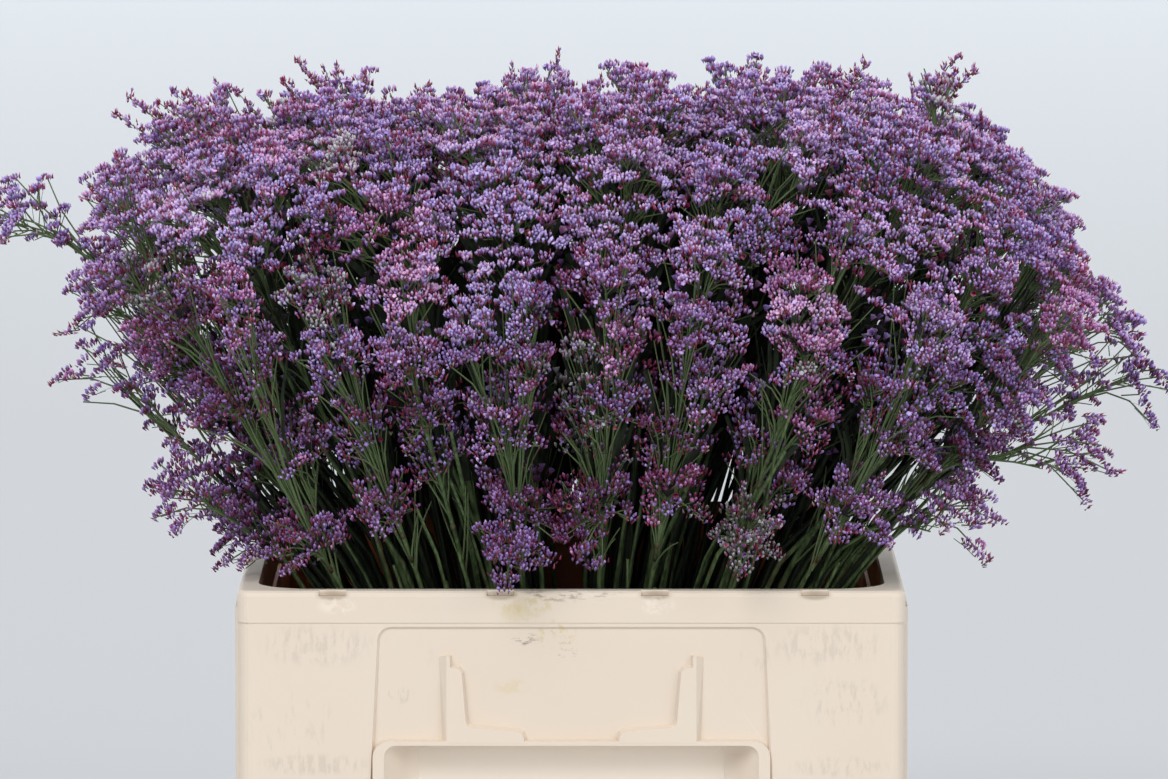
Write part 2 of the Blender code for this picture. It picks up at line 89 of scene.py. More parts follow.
NICHE_BACK_HALF = 0.134
NICHE_SPAN = (0.095, 0.2241)
NICHE_DEEP = 0.034
NICHE_CORNER = 0.0105
POCKET_WALL = 0.004
POCKET_ROOT = 0.9
LIP_TALL = 0.0046
LIP_DRAFT = 0.0008
LIP_SUNK = 0.0002
LIP_ROOT = 0.0005
NICHE_MOUTH = 0.01
NOTCH_SPOTS = (-0.209, -0.062, 0.073, 0.213)
NOTCH_SIZE = (0.024, 0.0075, 0.0042)
MIRRORED = (-1, 1)
BOTH_SIDES = (-1, -1)
CREAM = (0.755, 0.652, 0.540)
# A pale cream: painted light on the niches' insides and the rim's top, and pale patches below two notches.
PALE_CREAM_AND_PAINTED_LIGHT = (0.900, 0.800, 0.680)
CREAM_DEEP = (0.740, 0.600, 0.470)
SCUFF_GREY = (0.500, 0.440, 0.370)
# Painted shade in and round the notches of the rim.
NOTCH_PAINTED_SHADE = (0.300, 0.220, 0.140)
STAIN_YELLOW = (0.640, 0.520, 0.250)
GRIME = (0.130, 0.100, 0.060)
# The scale of a noise, its own range, and the range that it is turned into.
CLOUDS = (7.0, 0.35, 0.75, 0.0, 0.35)
SHEEN = (60.0, 0.3, 0.7, 0.34, 0.52)
# Where a patch fades out and where it is full, in half sizes, and how its noise breaks it up.
PATCH_EDGE = (1.15, 0.55)
PATCH_DETAIL = (6.0, 0.68)
PATCH_LIMIT = 0.86
PATCH_COVER = 0.66
PATCH_SOFT = 0.10


def rounded_block(half, corner, low, high, segments=6, top_round=0.0):
    """A bmesh block with rounded upright edges, and a rounded top edge if one is given."""
    bm = bmesh.new()
    bmesh.ops.create_cube(bm, size=2)
    bmesh.ops.scale(bm, vec=(half[0], half[1], (high - low) / 2), verts=bm.verts)
    bmesh.ops.translate(bm, vec=(0, 0, (low + high) / 2), verts=bm.verts)
    upright = [e for e in bm.edges if abs(e.verts[0].co.z - e.verts[1].co.z) > (high - low) / 2]
    bmesh.ops.bevel(bm, geom=upright, offset=corner, segments=segments, profile=0.5, affect="EDGES")
    if top_round:
        top = [e for e in bm.edges if all(abs(v.co.z - high) < 1e-6 for v in e.verts)]
        bmesh.ops.bevel(bm, geom=top, offset=top_round, segments=4, profile=0.5, affect="EDGES")
    return bm


def rounded_outline(corners, radius, steps=5):
    """Points round an outline of (x, z) corners, each corner turned with a radius."""
    points = []
    count = len(corners)
    for k in range(count):
        here = Vector(corners[k])
        before = (Vector(corners[k - 1]) - here).normalized()
        after = (Vector(corners[(k + 1) % count]) - here).normalized()
        turn = before.angle(after)
        back = radius / math.tan(turn / 2)
        centre = here + (before + after).normalized() * (radius / math.sin(turn / 2))
        first, last = here + before * back - centre, here + after * back - centre
        for step in range(steps + 1):
            points.append(tuple(centre + first.slerp(last, step / steps).normalized() * radius))
    return points


def drafted(front_outline, back_outline, front_y, back_y):
    """A bmesh solid between two outlines of (x, z) points that lie at two depths."""
    bm = bmesh.new()
    loops = []
    for outline, y in ((front_outline, front_y), (back_outline, back_y)):
        depths = [y(z) if callable(y) else y for _, z in outline]
        loops.append([bm.verts.new((x, d, z)) for (x, z), d in zip(outline, depths)])
    count = len(loops[0])
    for k in range(count):
        n = (k + 1) % count
        bm.faces.new((loops[0][k], loops[0][n], loops[1][n], loops[1][k]))
    bm.faces.new(list(reversed(loops[0])))
    bm.faces.new(loops[1])
    bmesh.ops.recalc_face_normals(bm, faces=bm.faces)
    return bm


def doubled(bm, flips):
    """The same bmesh with its copy beside it, turned over in x, or in x and y, by these signs."""
    copy = bmesh.ops.duplicate(bm, geom=bm.verts[:] + bm.edges[:] + bm.faces[:])["geom"]
    for vert in (v for v in copy if isinstance(v, bmesh.types.BMVert)):
        vert.co.x, vert.co.y = vert.co.x * flips[0], vert.co.y * flips[1]
    if flips[0] * flips[1] < 0:
        bmesh.ops.reverse_faces(bm, faces=[f for f in copy if isinstance(f, bmesh.types.BMFace)])
    return bm


def as_object(name, bm):
    """An object in the scene made from a bmesh."""
    mesh = bpy.data.meshes.new(name)
    bm.to_mesh(mesh)
    bm.free()
    item = bpy.data.objects.new(name, mesh)
    bpy.context.scene.collection.objects.link(item)
    return item


def combine(item, bm, operation):
    """Join or cut an object with a bmesh, and keep the result as its mesh."""
    tool = as_object("tool", bm)
    modifier = item.modifiers.new("combine", "BOOLEAN")
    modifier.operation = operation
    modifier.solver = "EXACT"
    modifier.object = tool
    bpy.context.view_layer.update()
    made = bpy.data.meshes.new_from_object(item.evaluated_get(bpy.context.evaluated_depsgraph_get()))
    item.modifiers.remove(modifier)
    old = item.data
    item.data = made
    bpy.data.meshes.remove(old)
    bpy.data.objects.remove(tool, do_unlink=True)


half_x, half_y = CONTAINER_HALF
front = -half_y
band = rounded_block(CONTAINER_HALF, CONTAINER_CORNER, BAND_LOW, RIM_HEIGHT, 6, RIM_ROUND)
container = as_object("container", band)
lower_half = (half_x - BAND_PROUD, half_y - BAND_PROUD)
combine(container, rounded_block(lower_half, CONTAINER_CORNER, 0, BAND_LOW + OVERLAP), "UNION")
side_half = (half_x + SIDE_PANEL_PROUD, SIDE_PANEL_HALF)
side_panels = rounded_block(side_half, SIDE_PANEL_CORNER, SIDE_PANEL_LOW, SIDE_PANEL_TOP)
combine(container, side_panels, "UNION")
inner_half = (half_x - CONTAINER_WALL, half_y - CONTAINER_WALL)
hollow = rounded_block(inner_half, INNER_CORNER, CONTAINER_FLOOR, RIM_HEIGHT - RIM_THICK)
combine(container, hollow, "DIFFERENCE")
mouth_half = (half_x - RIM_FLANGE, half_y - RIM_FLANGE)
mouth = rounded_block(mouth_half, MOUTH_CORNER, RIM_HEIGHT - 3 * RIM_THICK, RIM_HEIGHT + RIM_THICK, 12)
combine(container, mouth, "DIFFERENCE")


def panel_depth(z):
    """How deep the sunk panel lies under the front at a height: more towards the foot."""
    share = (PANEL_OUTLINE[0][1] - z) / (PANEL_OUTLINE[0][1] - NICHE_SPAN[1])
    return PANEL_DEPTHS[0] + (PANEL_DEPTHS[1] - PANEL_DEPTHS[0]) * min(1.0, max(0.0, share))


(top_half, top_z), (foot_half, foot_z) = PANEL_OUTLINE
panel_corners = ((-top_half, top_z), (top_half, top_z), (foot_half, foot_z), (-foot_half, foot_z))
panel_front = rounded_outline(panel_corners, PANEL_CORNER)
inset = PANEL_DRAFT / 2
panel_back = rounded_outline(
    [(x - math.copysign(inset, x), z - math.copysign(inset, z - PANEL_MIDDLE)) for x, z in panel_corners],
    PANEL_CORNER - inset,
)
panel = drafted(panel_front, panel_back, front - SKIN_GAP, lambda z: front + panel_depth(z))
combine(container, doubled(panel, BOTH_SIDES), "DIFFERENCE")


def niche_outline(half, grow):
    """The niche's outline, wider and taller by this much all round."""
    wide, top, foot = half + grow, NICHE_SPAN[1] + grow, NICHE_SPAN[0] - grow
    return rounded_outline(((-wide, top), (wide, top), (wide, foot), (-wide, foot)), NICHE_CORNER + grow)


wall_root = front + CONTAINER_WALL * POCKET_ROOT
pocket = drafted(
    niche_outline(NICHE_HALF, POCKET_WALL), niche_outline(NICHE_BACK_HALF, POCKET_WALL),
    wall_root, front + NICHE_DEEP + POCKET_WALL,
)
combine(container, doubled(pocket, BOTH_SIDES), "UNION")
lip = drafted(
    niche_outline(NICHE_HALF, LIP_TALL - LIP_DRAFT), niche_outline(NICHE_HALF, LIP_TALL + LIP_DRAFT),
    front - HOLDER_FACE + LIP_SUNK, wall_root + LIP_ROOT,
)
combine(container, doubled(lip, BOTH_SIDES), "UNION")
holder = drafted(HOLDER_FRONT, HOLDER_BACK, front - HOLDER_FACE, front + CONTAINER_WALL * HOLDER_ROOT)
combine(container, doubled(doubled(holder, MIRRORED), BOTH_SIDES), "UNION")
niche = drafted(
    niche_outline(NICHE_HALF, 0), niche_outline(NICHE_BACK_HALF, 0), front - NICHE_MOUTH, front + NICHE_DEEP
)
combine(container, doubled(niche, BOTH_SIDES), "DIFFERENCE")
for spot in NOTCH_SPOTS:
    long, wide, deep = NOTCH_SIZE
    notch = bmesh.new()
    bmesh.ops.create_cube(notch, size=1)
    bmesh.ops.scale(notch, vec=(long, 2 * wide, 2 * deep), verts=notch.verts)
    bmesh.ops.translate(notch, vec=(spot, front, RIM_HEIGHT), verts=notch.verts)
    combine(container, doubled(notch, BOTH_SIDES), "DIFFERENCE")
edges = container.modifiers.new("broken_edges", "BEVEL")
edges.width = EDGE_BREAK
edges.segments = 2
edges.limit_method = "ANGLE"
edges.angle_limit = EDGE_LEAST
edges.use_clamp_overlap = True
edges.harden_normals = False


def new_group(name, inputs, outputs):
    """An empty shader node group with named sockets, and its input and output nodes."""
    group = bpy.data.node_groups.new(name, "ShaderNodeTree")
    for label, kind, value in inputs:
        socket = group.interface.new_socket(label, in_out="INPUT", socket_type=kind)
        socket.default_value = value
    for label, kind in outputs:
        group.interface.new_socket(label, in_out="OUTPUT", socket_type=kind)
    return group, group.nodes.new("NodeGroupInput"), group.nodes.new("NodeGroupOutput")


def add_node(tree, kind, inputs, **settings):
    """A shader node with these settings, its inputs set to values or linked from sockets."""
    node = tree.nodes.new("ShaderNode" + kind)
    for key, value in settings.items():
        setattr(node, key, value)
    for slot, value in inputs.items():
        if isinstance(value, bpy.types.NodeSocket):
            tree.links.new(value, node.inputs[slot])
        else:
            node.inputs[slot].default_value = value
    return node


def object_place(tree):
    """The place on the piece, in metres from its origin."""
    return add_node(tree, "TexCoord", {}).outputs["Object"]


def vector_of(tree, operation, first, second):
    """The outcome of one step of arithmetic on two vectors or vector sockets."""
    return add_node(tree, "VectorMath", {0: first, 1: second}, operation=operation).outputs[0]


def length_of(tree, vector):
    """The length of a vector socket."""
    return add_node(tree, "VectorMath", {0: vector}, operation="LENGTH").outputs["Value"]


def value_of(tree, operation, first, second):
    """The outcome of one step of arithmetic on two numbers or sockets."""
    return add_node(tree, "Math", {0: first, 1: second}, operation=operation).outputs[0]


def ranged(tree, value, low, high, to_low=0.0, to_high=1.0, **settings):
    """A clamped map of a value from one range to another."""
    inputs = {"Value": value, "From Min": low, "From Max": high, "To Min": to_low, "To Max": to_high}
    return add_node(tree, "MapRange", inputs, **settings).outputs["Result"]


def noise_of(tree, vector, scale, detail=3.0, roughness=0.55):
    """A noise value for each place."""
    inputs = {"Vector": vector, "Scale": scale, "Detail": detail, "Roughness": roughness}
    return add_node(tree, "TexNoise", inputs).outputs["Fac"]


def mixed(tree, factor, first, second):
    """A mix of two colours, each given as three numbers or as a socket."""
    first, second = ((*value, 1) if isinstance(value, tuple) else value for value in (first, second))
    return add_node(tree, "Mix", {"Factor": factor, 6: first, 7: second}, data_type="RGBA").outputs[2]


def patch_group():
    """A mask that is 1 in a soft-edged oval round a centre, broken up by noise of a given cover."""
    tree, given, out = new_group(
        "broken_patch",
        (
            ("Centre", "NodeSocketVector", (0, 0, 0)),
            ("Half Size", "NodeSocketVector", (1, 1, 1)),
            ("Grain", "NodeSocketFloat", 90.0),
            ("Cover", "NodeSocketFloat", 0.5),
            ("Stretch", "NodeSocketVector", (1, 1, 1)),
        ),
        (("Mask", "NodeSocketFloat"),),
    )
    given, place = given.outputs, object_place(tree)
    offset = vector_of(tree, "SUBTRACT", place, given["Centre"])
    share = vector_of(tree, "DIVIDE", offset, given["Half Size"])
    inside = ranged(tree, length_of(tree, share), *PATCH_EDGE, interpolation_type="SMOOTHSTEP")
    stretched = vector_of(tree, "MULTIPLY", place, given["Stretch"])
    noise = noise_of(tree, stretched, given["Grain"], *PATCH_DETAIL)
    limit = value_of(tree, "SUBTRACT", PATCH_LIMIT, value_of(tree, "MULTIPLY", given["Cover"], PATCH_COVER))
    broken = ranged(tree, noise, limit, value_of(tree, "ADD", limit, PATCH_SOFT))
    tree.links.new(value_of(tree, "MULTIPLY", inside, broken), out.inputs["Mask"])
    return tree


broken_patch = patch_group()


def new_material(name, roughness, specular=0.5):
    """A material with its Principled shader and its node tree."""
    made = bpy.data.materials.new(name)
    made.use_nodes = True
    shader = made.node_tree.nodes["Principled BSDF"]
    shader.inputs["Roughness"].default_value = roughness
    shader.inputs["Metallic"].default_value = 0
    shader.inputs["Specular IOR Level"].default_value = specular
    return made, shader, made.node_tree


def coloured(tree, shader, colour, plain):
    """Give a shader its colour socket, with a plain colour that stands for it."""
    tree.links.new(colour, shader.inputs["Base Color"])
    shader.inputs["Base Color"].default_value = (*plain, 1)


# Centre, half size, grain, cover, colour and strength of each worn or soiled place, and of each place
# painted lighter or darker as light and shade.
SOILED_AND_PAINTED_LIGHT = (
    # Painted light: the insides of the two hand niches, lightened as if lit.
    ((0, -0.150, 0.160), (0.300, 0.030, 0.140), 3, 1.40, PALE_CREAM_AND_PAINTED_LIGHT, 1.00),
    ((0, 0.150, 0.160), (0.300, 0.030, 0.140), 3, 1.40, PALE_CREAM_AND_PAINTED_LIGHT, 1.00),
    # Painted light: the top of the rim, lightened as if lit from above.
    ((0, 0, 0.3602), (0.600, 0.400, 0.0016), 3, 1.40, PALE_CREAM_AND_PAINTED_LIGHT, 0.85),
    ((0, 0, 0.18), (9, 9, 9), 26, 0.30, SCUFF_GREY, 0.22),
    ((0, 0, 0.18), (9, 9, 9), 260, 0.22, SCUFF_GREY, 0.22),
    ((-0.222, -0.195, 0.312), (0.052, 0.030, 0.020), 210, 0.58, SCUFF_GREY, 0.34),
    ((-0.245, -0.195, 0.235), (0.046, 0.030, 0.042), 150, 0.48, SCUFF_GREY, 0.26),
    ((-0.225, -0.195, 0.207), (0.050, 0.030, 0.010), 190, 0.62, SCUFF_GREY, 0.40),
    ((0.225, -0.195, 0.312), (0.055, 0.030, 0.020), 210, 0.58, SCUFF_GREY, 0.34),
    ((0.240, -0.195, 0.262), (0.040, 0.030, 0.024), 160, 0.54, SCUFF_GREY, 0.34),
    ((0.235, -0.195, 0.205), (0.046, 0.030, 0.010), 190, 0.56, SCUFF_GREY, 0.34),
    ((0.160, -0.195, 0.300), (0.022, 0.030, 0.014), 110, 0.50, SCUFF_GREY, 0.30),
    ((-0.040, -0.195, 0.349), (0.030, 0.020, 0.010), 140, 0.60, STAIN_YELLOW, 0.60),
    ((-0.044, -0.195, 0.343), (0.022, 0.020, 0.014), 60, 0.62, STAIN_YELLOW, 0.35),
    ((-0.014, -0.195, 0.322), (0.020, 0.020, 0.014), 190, 0.54, STAIN_YELLOW, 0.60),
    ((-0.052, -0.195, 0.275), (0.018, 0.020, 0.008), 90, 0.60, STAIN_YELLOW, 0.30),
    ((-0.005, -0.195, 0.357), (0.050, 0.010, 0.007), 170, 0.54, GRIME, 0.50),
    ((-0.042, -0.195, 0.317), (0.016, 0.020, 0.006), 300, 0.50, GRIME, 0.75),
    ((-0.006, -0.195, 0.308), (0.013, 0.020, 0.012), 260, 0.46, GRIME, 0.60),
    ((-0.150, -0.195, 0.268), (0.012, 0.020, 0.008), 190, 0.55, SCUFF_GREY, 0.60),
    # Painted shade in the notches of the rim.
    *(((x, -0.195, 0.3565), (0.015, 0.012, 0.0050), 260, 1.00, NOTCH_PAINTED_SHADE, 0.60) for x in NOTCH_SPOTS),
    # Pale patches below two of the notches.
    ((-0.205, -0.195, 0.347), (0.018, 0.012, 0.0080), 120, 0.62, PALE_CREAM_AND_PAINTED_LIGHT, 0.50),
    ((0.076, -0.195, 0.347), (0.016, 0.012, 0.0090), 120, 0.62, PALE_CREAM_AND_PAINTED_LIGHT, 0.50),
    ((0.170, 0.195, 0.250), (0.080, 0.030, 0.060), 120, 0.45, SCUFF_GREY, 0.34),
    ((-0.130, 0.195, 0.330), (0.090, 0.020, 0.020), 170, 0.50, SCUFF_GREY, 0.34),
    ((0.295, 0.020, 0.240), (0.030, 0.110, 0.060), 130, 0.55, SCUFF_GREY, 0.20),
    ((-0.295, -0.030, 0.200), (0.030, 0.100, 0.080), 130, 0.55, SCUFF_GREY, 0.20),
)
# Scuffs are drawn out upright, and grime lies along the rim.
STREAKS = {SCUFF_GREY: (1.0, 1.0, 0.30), GRIME: (0.5, 1.0, 1.6)}
cream_plastic, shader, tree = new_material("cream_plastic_scuffed_and_painted_light", 0.42, 0.4)
place = object_place(tree)
colour = mixed(tree, ranged(tree, noise_of(tree, place, CLOUDS[0]), *CLOUDS[1:]), CREAM, CREAM_DEEP)
for centre, size, grain, cover, tint, strength in SOILED_AND_PAINTED_LIGHT:
    stretch = STREAKS.get(tint, (1, 1, 1))
    given = {"Centre": centre, "Half Size": size, "Grain": grain, "Cover": cover, "Stretch": stretch}
    patch = add_node(tree, "Group", given, node_tree=broken_patch)
    weight = ranged(tree, patch.outputs["Mask"], 0.0, 1.0, 0.0, strength)
    colour = mixed(tree, weight, colour, tint)
coloured(tree, shader, colour, CREAM)
tree.links.new(ranged(tree, noise_of(tree, place, SHEEN[0], 5.0), *SHEEN[1:]), shader.inputs["Roughness"])
container.data.materials.clear()
container.data.materials.append(cream_plastic)
for face in container.data.polygons:
    face.material_index = 0
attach(container, "root")
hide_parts("collar")

# Tub: the terracotta plastic inner tub that the stems stand in. It is the imported solid itself, coloured
# as thin moulded plastic with a little dust.
TERRACOTTA = (0.680, 0.190, 0.060)
TERRACOTTA_DARK = (0.420, 0.105, 0.036)
TERRACOTTA_DUST = (0.470, 0.210, 0.110)
TUB_CLOUDS = (14.0, 0.35, 0.65)
TUB_DUST = (120.0, 0.5, 0.75, 0.0, 0.5)

terracotta, shader, tree = new_material("terracotta_plastic_dusty", 0.5)
place = object_place(tree)
cloud = ranged(tree, noise_of(tree, place, TUB_CLOUDS[0]), *TUB_CLOUDS[1:])
dust = ranged(tree, noise_of(tree, place, TUB_DUST[0], 5.0), *TUB_DUST[1:])
colour = mixed(tree, cloud, TERRACOTTA, TERRACOTTA_DARK)
coloured(tree, shader, mixed(tree, dust, colour, TERRACOTTA_DUST), TERRACOTTA)
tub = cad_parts["tub"]
tub.data.materials.clear()
tub.data.materials.append(terracotta)

# Stems: 56 cut stems of statice stand in the tub and spread over the rim. Each place and lean is drawn
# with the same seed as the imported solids, so that stems, twigs and heads keep the solids' form.
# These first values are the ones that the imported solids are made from.
COLUMNS = 10
ROWS = 6
RIM_SPREAD_X = 0.246
RIM_SPREAD_FRONT = 0.150
RIM_SPREAD_BACK = 0.124
FOOT_SHARE_X = 0.24
FOOT_SHARE_Y = 0.20
FOOT_HEIGHT = 0.0096
COLUMN_JITTER = 0.06
ROW_JITTER = 0.09
LEAN_X = math.radians(46)
LEAN_Y = math.radians(34)
CORNER_PULL = 0.30
REACHES = (0.10, 0.21, 0.34, 0.50, 0.66)
WANDER = 0.025
CROWN_HALF = (0.444, 0.296)
CROWN_SHIFT_X = 0.022
CROWN_LOW = 0.452
CROWN_LOW_BACK = 0.458
CROWN_WAIST = 0.600
CROWN_TAPER = 0.27
CROWN_SHOULDER = 0.540
CROWN_TOP = 0.786
CROWN_POWER = 3.6
CROWN_SKIN = (0.90, 1.0)
STEM_TIP_DEPTH = 0.95
HEAD_REACH = 0.056
HEAD_NECK = 0.40
HEAD_SIDES = 5
HEAD_SPACING = 0.0615
CLOSE_SHARE = 0.88
CELL_GAP = 0.0014
TWIG_GAP = 0.0030
CORE_ROOM = 0.0110
TWIG_BELOW_TIP = 0.030
TWIG_SUNK = 0.004
TWIG_SHARES = (0.35, 0.6, 0.85, 1.1, 1.35)
TWIG_ABOVE_RIM = 0.030
TWIG_HEAD_GAP = 0.016
SPIKE_TWIG_GAP = 0.004
RIM_GAP = 0.006
TUB_BACK_TOP = 0.400
SPIKE_LEAST = 0.20
SPIKE_UP = math.radians(56)
SPIKE_OUT = math.radians(6)
SPIKE_TURN = 0.22
SPIKE_NOD = 0.14
SPIKE_SHORT = 0.84
FIT_STEP = 0.04
HEAD_WAY_SHARES = (0.5, 0.5, 0.5, 0.35)
TRIES = 20000
WIDE_TRIES = 12000
SEED = 8
# Heads that stand out of the crown at its sides, or hang low over the rim in front.
STRAYS = (
    (-0.492, -0.060, 0.690), (-0.425, -0.100, 0.605), (-0.402, -0.090, 0.545), (0.322, -0.040, 0.800),
    (0.472, -0.080, 0.592), (0.505, -0.020, 0.520), (0.432, -0.130, 0.470), (0.432, -0.060, 0.680),
    (-0.330, -0.150, 0.440), (0.330, -0.160, 0.420), (-0.052, -0.212, 0.402), (-0.010, -0.216, 0.440),
    (0.150, -0.205, 0.410),
)
STRAY_PULL = 0.8
HEART_WAY = (1.3, 1, 1)
HEART_REACH = 0.7
SLOPE_STEP = 0.004
TIP_STEP = 0.002
SPIKE_CHECK = 0.6
# The crown is drawn in at its right shoulder, hangs lower at the far left, and dips along its top: x,
# half width and depth of each dip.
SHOULDER = (0.366, 0.772)
SHOULDER_WAY = (0.75, 0.66)
SHOULDER_DEEP = 0.050
SHOULDER_DRAWN = 0.42
DROOP_FROM = -0.440
DROOP = 0.45
DIPS = ((-0.250, 0.050, 0.014), (-0.140, 0.075, 0.018), (-0.070, 0.065, 0.018), (0.115, 0.055, 0.023))
DIP_FROM = 0.70
DIP_FADE = 0.08
UP = Vector((0, 0, 1))
STEM_RADII = (0.0031, 0.0016)
# The section of a stem: six sides, two of them drawn out as wings.
WING = (1.30, 0.80, 0.80, 1.30, 0.80, 0.80)
STEM_STEP = 0.016
TWIG_RADII = (0.0014, 0.0009)
TWIG_STEPS = 6
RIBBON_LIFT = 0.1
STREAK_STRETCH = (1, 1, 0.12)
STREAK_DETAIL = (2.0, 0.5)
STREAKED = (0.35, 0.65)
BLOTCHED = (0.60, 0.72, 0.0, 0.7)
STEM_GREEN = (0.120, 0.178, 0.070)
STEM_DARK = (0.040, 0.066, 0.024)
STEM_BROWN = (0.120, 0.085, 0.045)
TWIG_GREEN = (0.105, 0.145, 0.064)
# Near-black greens, painted as shade, for the wings and the stems inside the bundle.
PAINTED_SHADE_GREEN = (0.026, 0.038, 0.017)
PAINTED_SHADE_DARK = (0.010, 0.014, 0.008)
Head = namedtuple("Head", "root along stem_way centre way tips")


def ease(t):
    """0 below 0, 1 above 1, and an even S between."""
    t = min(1.0, max(0.0, t))
    return t * t * (3 - 2 * t)


def crown_depth(p):
    """1 on the crown's outer form and less inside it."""
    waist = 1 - CROWN_TAPER * ease((CROWN_WAIST - p[2]) / (CROWN_WAIST - CROWN_LOW))
    x = abs(p[0] - CROWN_SHIFT_X) / (CROWN_HALF[0] * waist)
    y = abs(p[1]) / (CROWN_HALF[1] * waist)
    z = max(0.0, p[2] - CROWN_SHOULDER) / (CROWN_TOP - CROWN_SHOULDER)
    return (x**CROWN_POWER + y**CROWN_POWER + z**CROWN_POWER) ** (1 / CROWN_POWER)


def crown_normal(p):
    """The direction in which the crown's depth grows fastest at p."""
    base = crown_depth(p)
    slopes = []
    for axis in range(3):
        moved = Vector(p)
        moved[axis] += SLOPE_STEP
        slopes.append(crown_depth(moved) - base)
    return Vector(slopes).normalized()


def stem_lines():
    """The line of each stem: points from its foot, through the rim, to beyond the crown."""
    rng = random.Random(SEED)
    lines = []
    for row in range(ROWS):
        for column in range(COLUMNS):
            u = 2 * column / (COLUMNS - 1) - 1 + rng.uniform(-COLUMN_JITTER, COLUMN_JITTER)
            v = 2 * row / (ROWS - 1) - 1 + rng.uniform(-ROW_JITTER, ROW_JITTER)
            wander = Vector((rng.uniform(-WANDER, WANDER), rng.uniform(-WANDER, WANDER), 0))
            if column in (0, COLUMNS - 1) and row in (0, ROWS - 1):
                continue
            u = max(-1.0, min(1.0, u))
            v = max(-1.0, min(1.0, v))
            rim_y = v * (RIM_SPREAD_FRONT if v < 0 else RIM_SPREAD_BACK)
            rim = Vector((u * RIM_SPREAD_X, rim_y, RIM_HEIGHT))
            foot = Vector((rim.x * FOOT_SHARE_X, rim.y * FOOT_SHARE_Y, FOOT_HEIGHT))
            slope_x = math.tan(u * LEAN_X) * (1 - CORNER_PULL * v * v)
            slope_y = math.tan(v * LEAN_Y) * (1 - CORNER_PULL * u * u)
            way = Vector((slope_x, slope_y, 1)).normalized()
            line = [foot, rim]
            for reach in REACHES:
                line.append(rim + way * reach + wander * (reach / REACHES[3]) ** 2)
            lines.append(line)
    return lines


class Cells:
    """The room of each stem: every point belongs to the stem whose line is nearest to it."""

    def __init__(self, lines):
        starts, steps, owners = [], [], []
        for number, line in enumerate(lines):
            for a, b in zip(line, line[1:]):
                starts.append(a)
                steps.append(b - a)
                owners.append(number)
        self.starts = np.array(starts)
        self.steps = np.array(steps)
        self.squares = (self.steps**2).sum(axis=1)
        self.firsts = np.unique(np.array(owners), return_index=True)[1]

    def distances(self, p):
        """The distance from p to each stem's line."""
        to_p = np.array(p) - self.starts
        share = np.clip((to_p * self.steps).sum(axis=1) / self.squares, 0, 1)
        away = np.linalg.norm(to_p - self.steps * share[:, None], axis=1)
        return np.minimum.reduceat(away, self.firsts)

    def nearest(self, p):
        """The number of the stem whose line is nearest to p."""
        return int(np.argmin(self.distances(p)))

    def room(self, p, number):
        """How far p lies inside the room of this stem, measured to the room's wall."""
        away = self.distances(p)
        own = away[number]
        away[number] = 9.0
        return (away.min() - own) / 2


def nearest_along(line, p):
    """The length along the line at which it passes nearest to p."""
    best, best_along, along = 9.0, 0.0, 0.0
    for a, b in zip(line, line[1:]):
        step = b - a
        share = max(0.0, min(1.0, (p - a).dot(step) / step.length_squared))
        away = (p - a - step * share).length
        if away < best:
            best, best_along = away, along + share * step.length
        along += step.length
    return best_along


def point_along(line, along):
    """The point this far along the line, and the line's direction there."""
    for a, b in zip(line, line[1:]):
        length = (b - a).length
        if along <= length:
            break
        along -= length
    return a.lerp(b, min(1.0, max(0.0, along) / length)), (b - a).normalized()


def crown_point(rng):
    """A random point near the crown's outer form."""
    depth = rng.uniform(*CROWN_SKIN)
    while True:
        way = Vector([rng.gauss(0, spread) for spread in HEART_WAY]).normalized()
        heart = Vector((CROWN_SHIFT_X, 0, CROWN_SHOULDER))
        low, high = 0.0, HEART_REACH
        for _ in range(18):
            middle = (low + high) / 2
            if crown_depth(heart + way * middle) < depth:
                low = middle
            else:
                high = middle
        p = heart + way * low
        if p.z > (CROWN_LOW_BACK if p.y > 0 else CROWN_LOW):
            return p


def spread_heads(lines, cells):
    """The centres of each stem's heads: its tip, the strays, then an even scatter over the crown."""
    rng = random.Random(SEED + 1)
    heads = [[] for _ in lines]
    placed = []
    for number, line in enumerate(lines):
        along = sum((b - a).length for a, b in zip(line, line[1:]))
        point = point_along(line, along)[0]
        while crown_depth(point) > STEM_TIP_DEPTH:
            along -= TIP_STEP
            point = point_along(line, along)[0]
        heads[number].append(point)
        placed.append(point)
    for stray in STRAYS:
        point = Vector(stray)
        number = cells.nearest(point)
        if cells.room(point, number) < CORE_ROOM:
            on_stem = point_along(lines[number], nearest_along(lines[number], point))[0]
            point = on_stem.lerp(point, STRAY_PULL)
        heads[number].append(point)
        placed.append(point)
    for attempt in range(TRIES):
        point = crown_point(rng)
        spacing = HEAD_SPACING * (1.0 if attempt < WIDE_TRIES else CLOSE_SHARE)
        if any((point - other).length < spacing for other in placed):
            continue
        number = cells.nearest(point)
        if cells.room(point, number) < CORE_ROOM:
            continue
        heads[number].append(point)
        placed.append(point)
    return heads


def away_from(p, a, b):
    """The distance from p to the straight line between a and b."""
    step = b - a
    share = max(0.0, min(1.0, (p - a).dot(step) / step.length_squared))
    return (p - a - step * share).length


def twig_root(line, end, centre, others, number, cells):
    """Where the twig of a head leaves its stem: low down, in the stem's room, clear of other heads."""
    near = min(nearest_along(line, centre), end)
    away = max((point_along(line, near)[0] - centre).length, HEAD_REACH)
    lowest = min((line[1] - line[0]).length + TWIG_ABOVE_RIM, near)
    found = max(lowest, near - away * TWIG_SHARES[0])
    for share in TWIG_SHARES:
        along = max(lowest, near - share * away)
        root = point_along(line, along)[0]
        if any(away_from(other, root, centre) < TWIG_HEAD_GAP for other in others):
            continue
        if all(cells.room(root.lerp(centre, k / 8), number) > TWIG_GAP for k in range(1, 8)):
            found = along
    return found


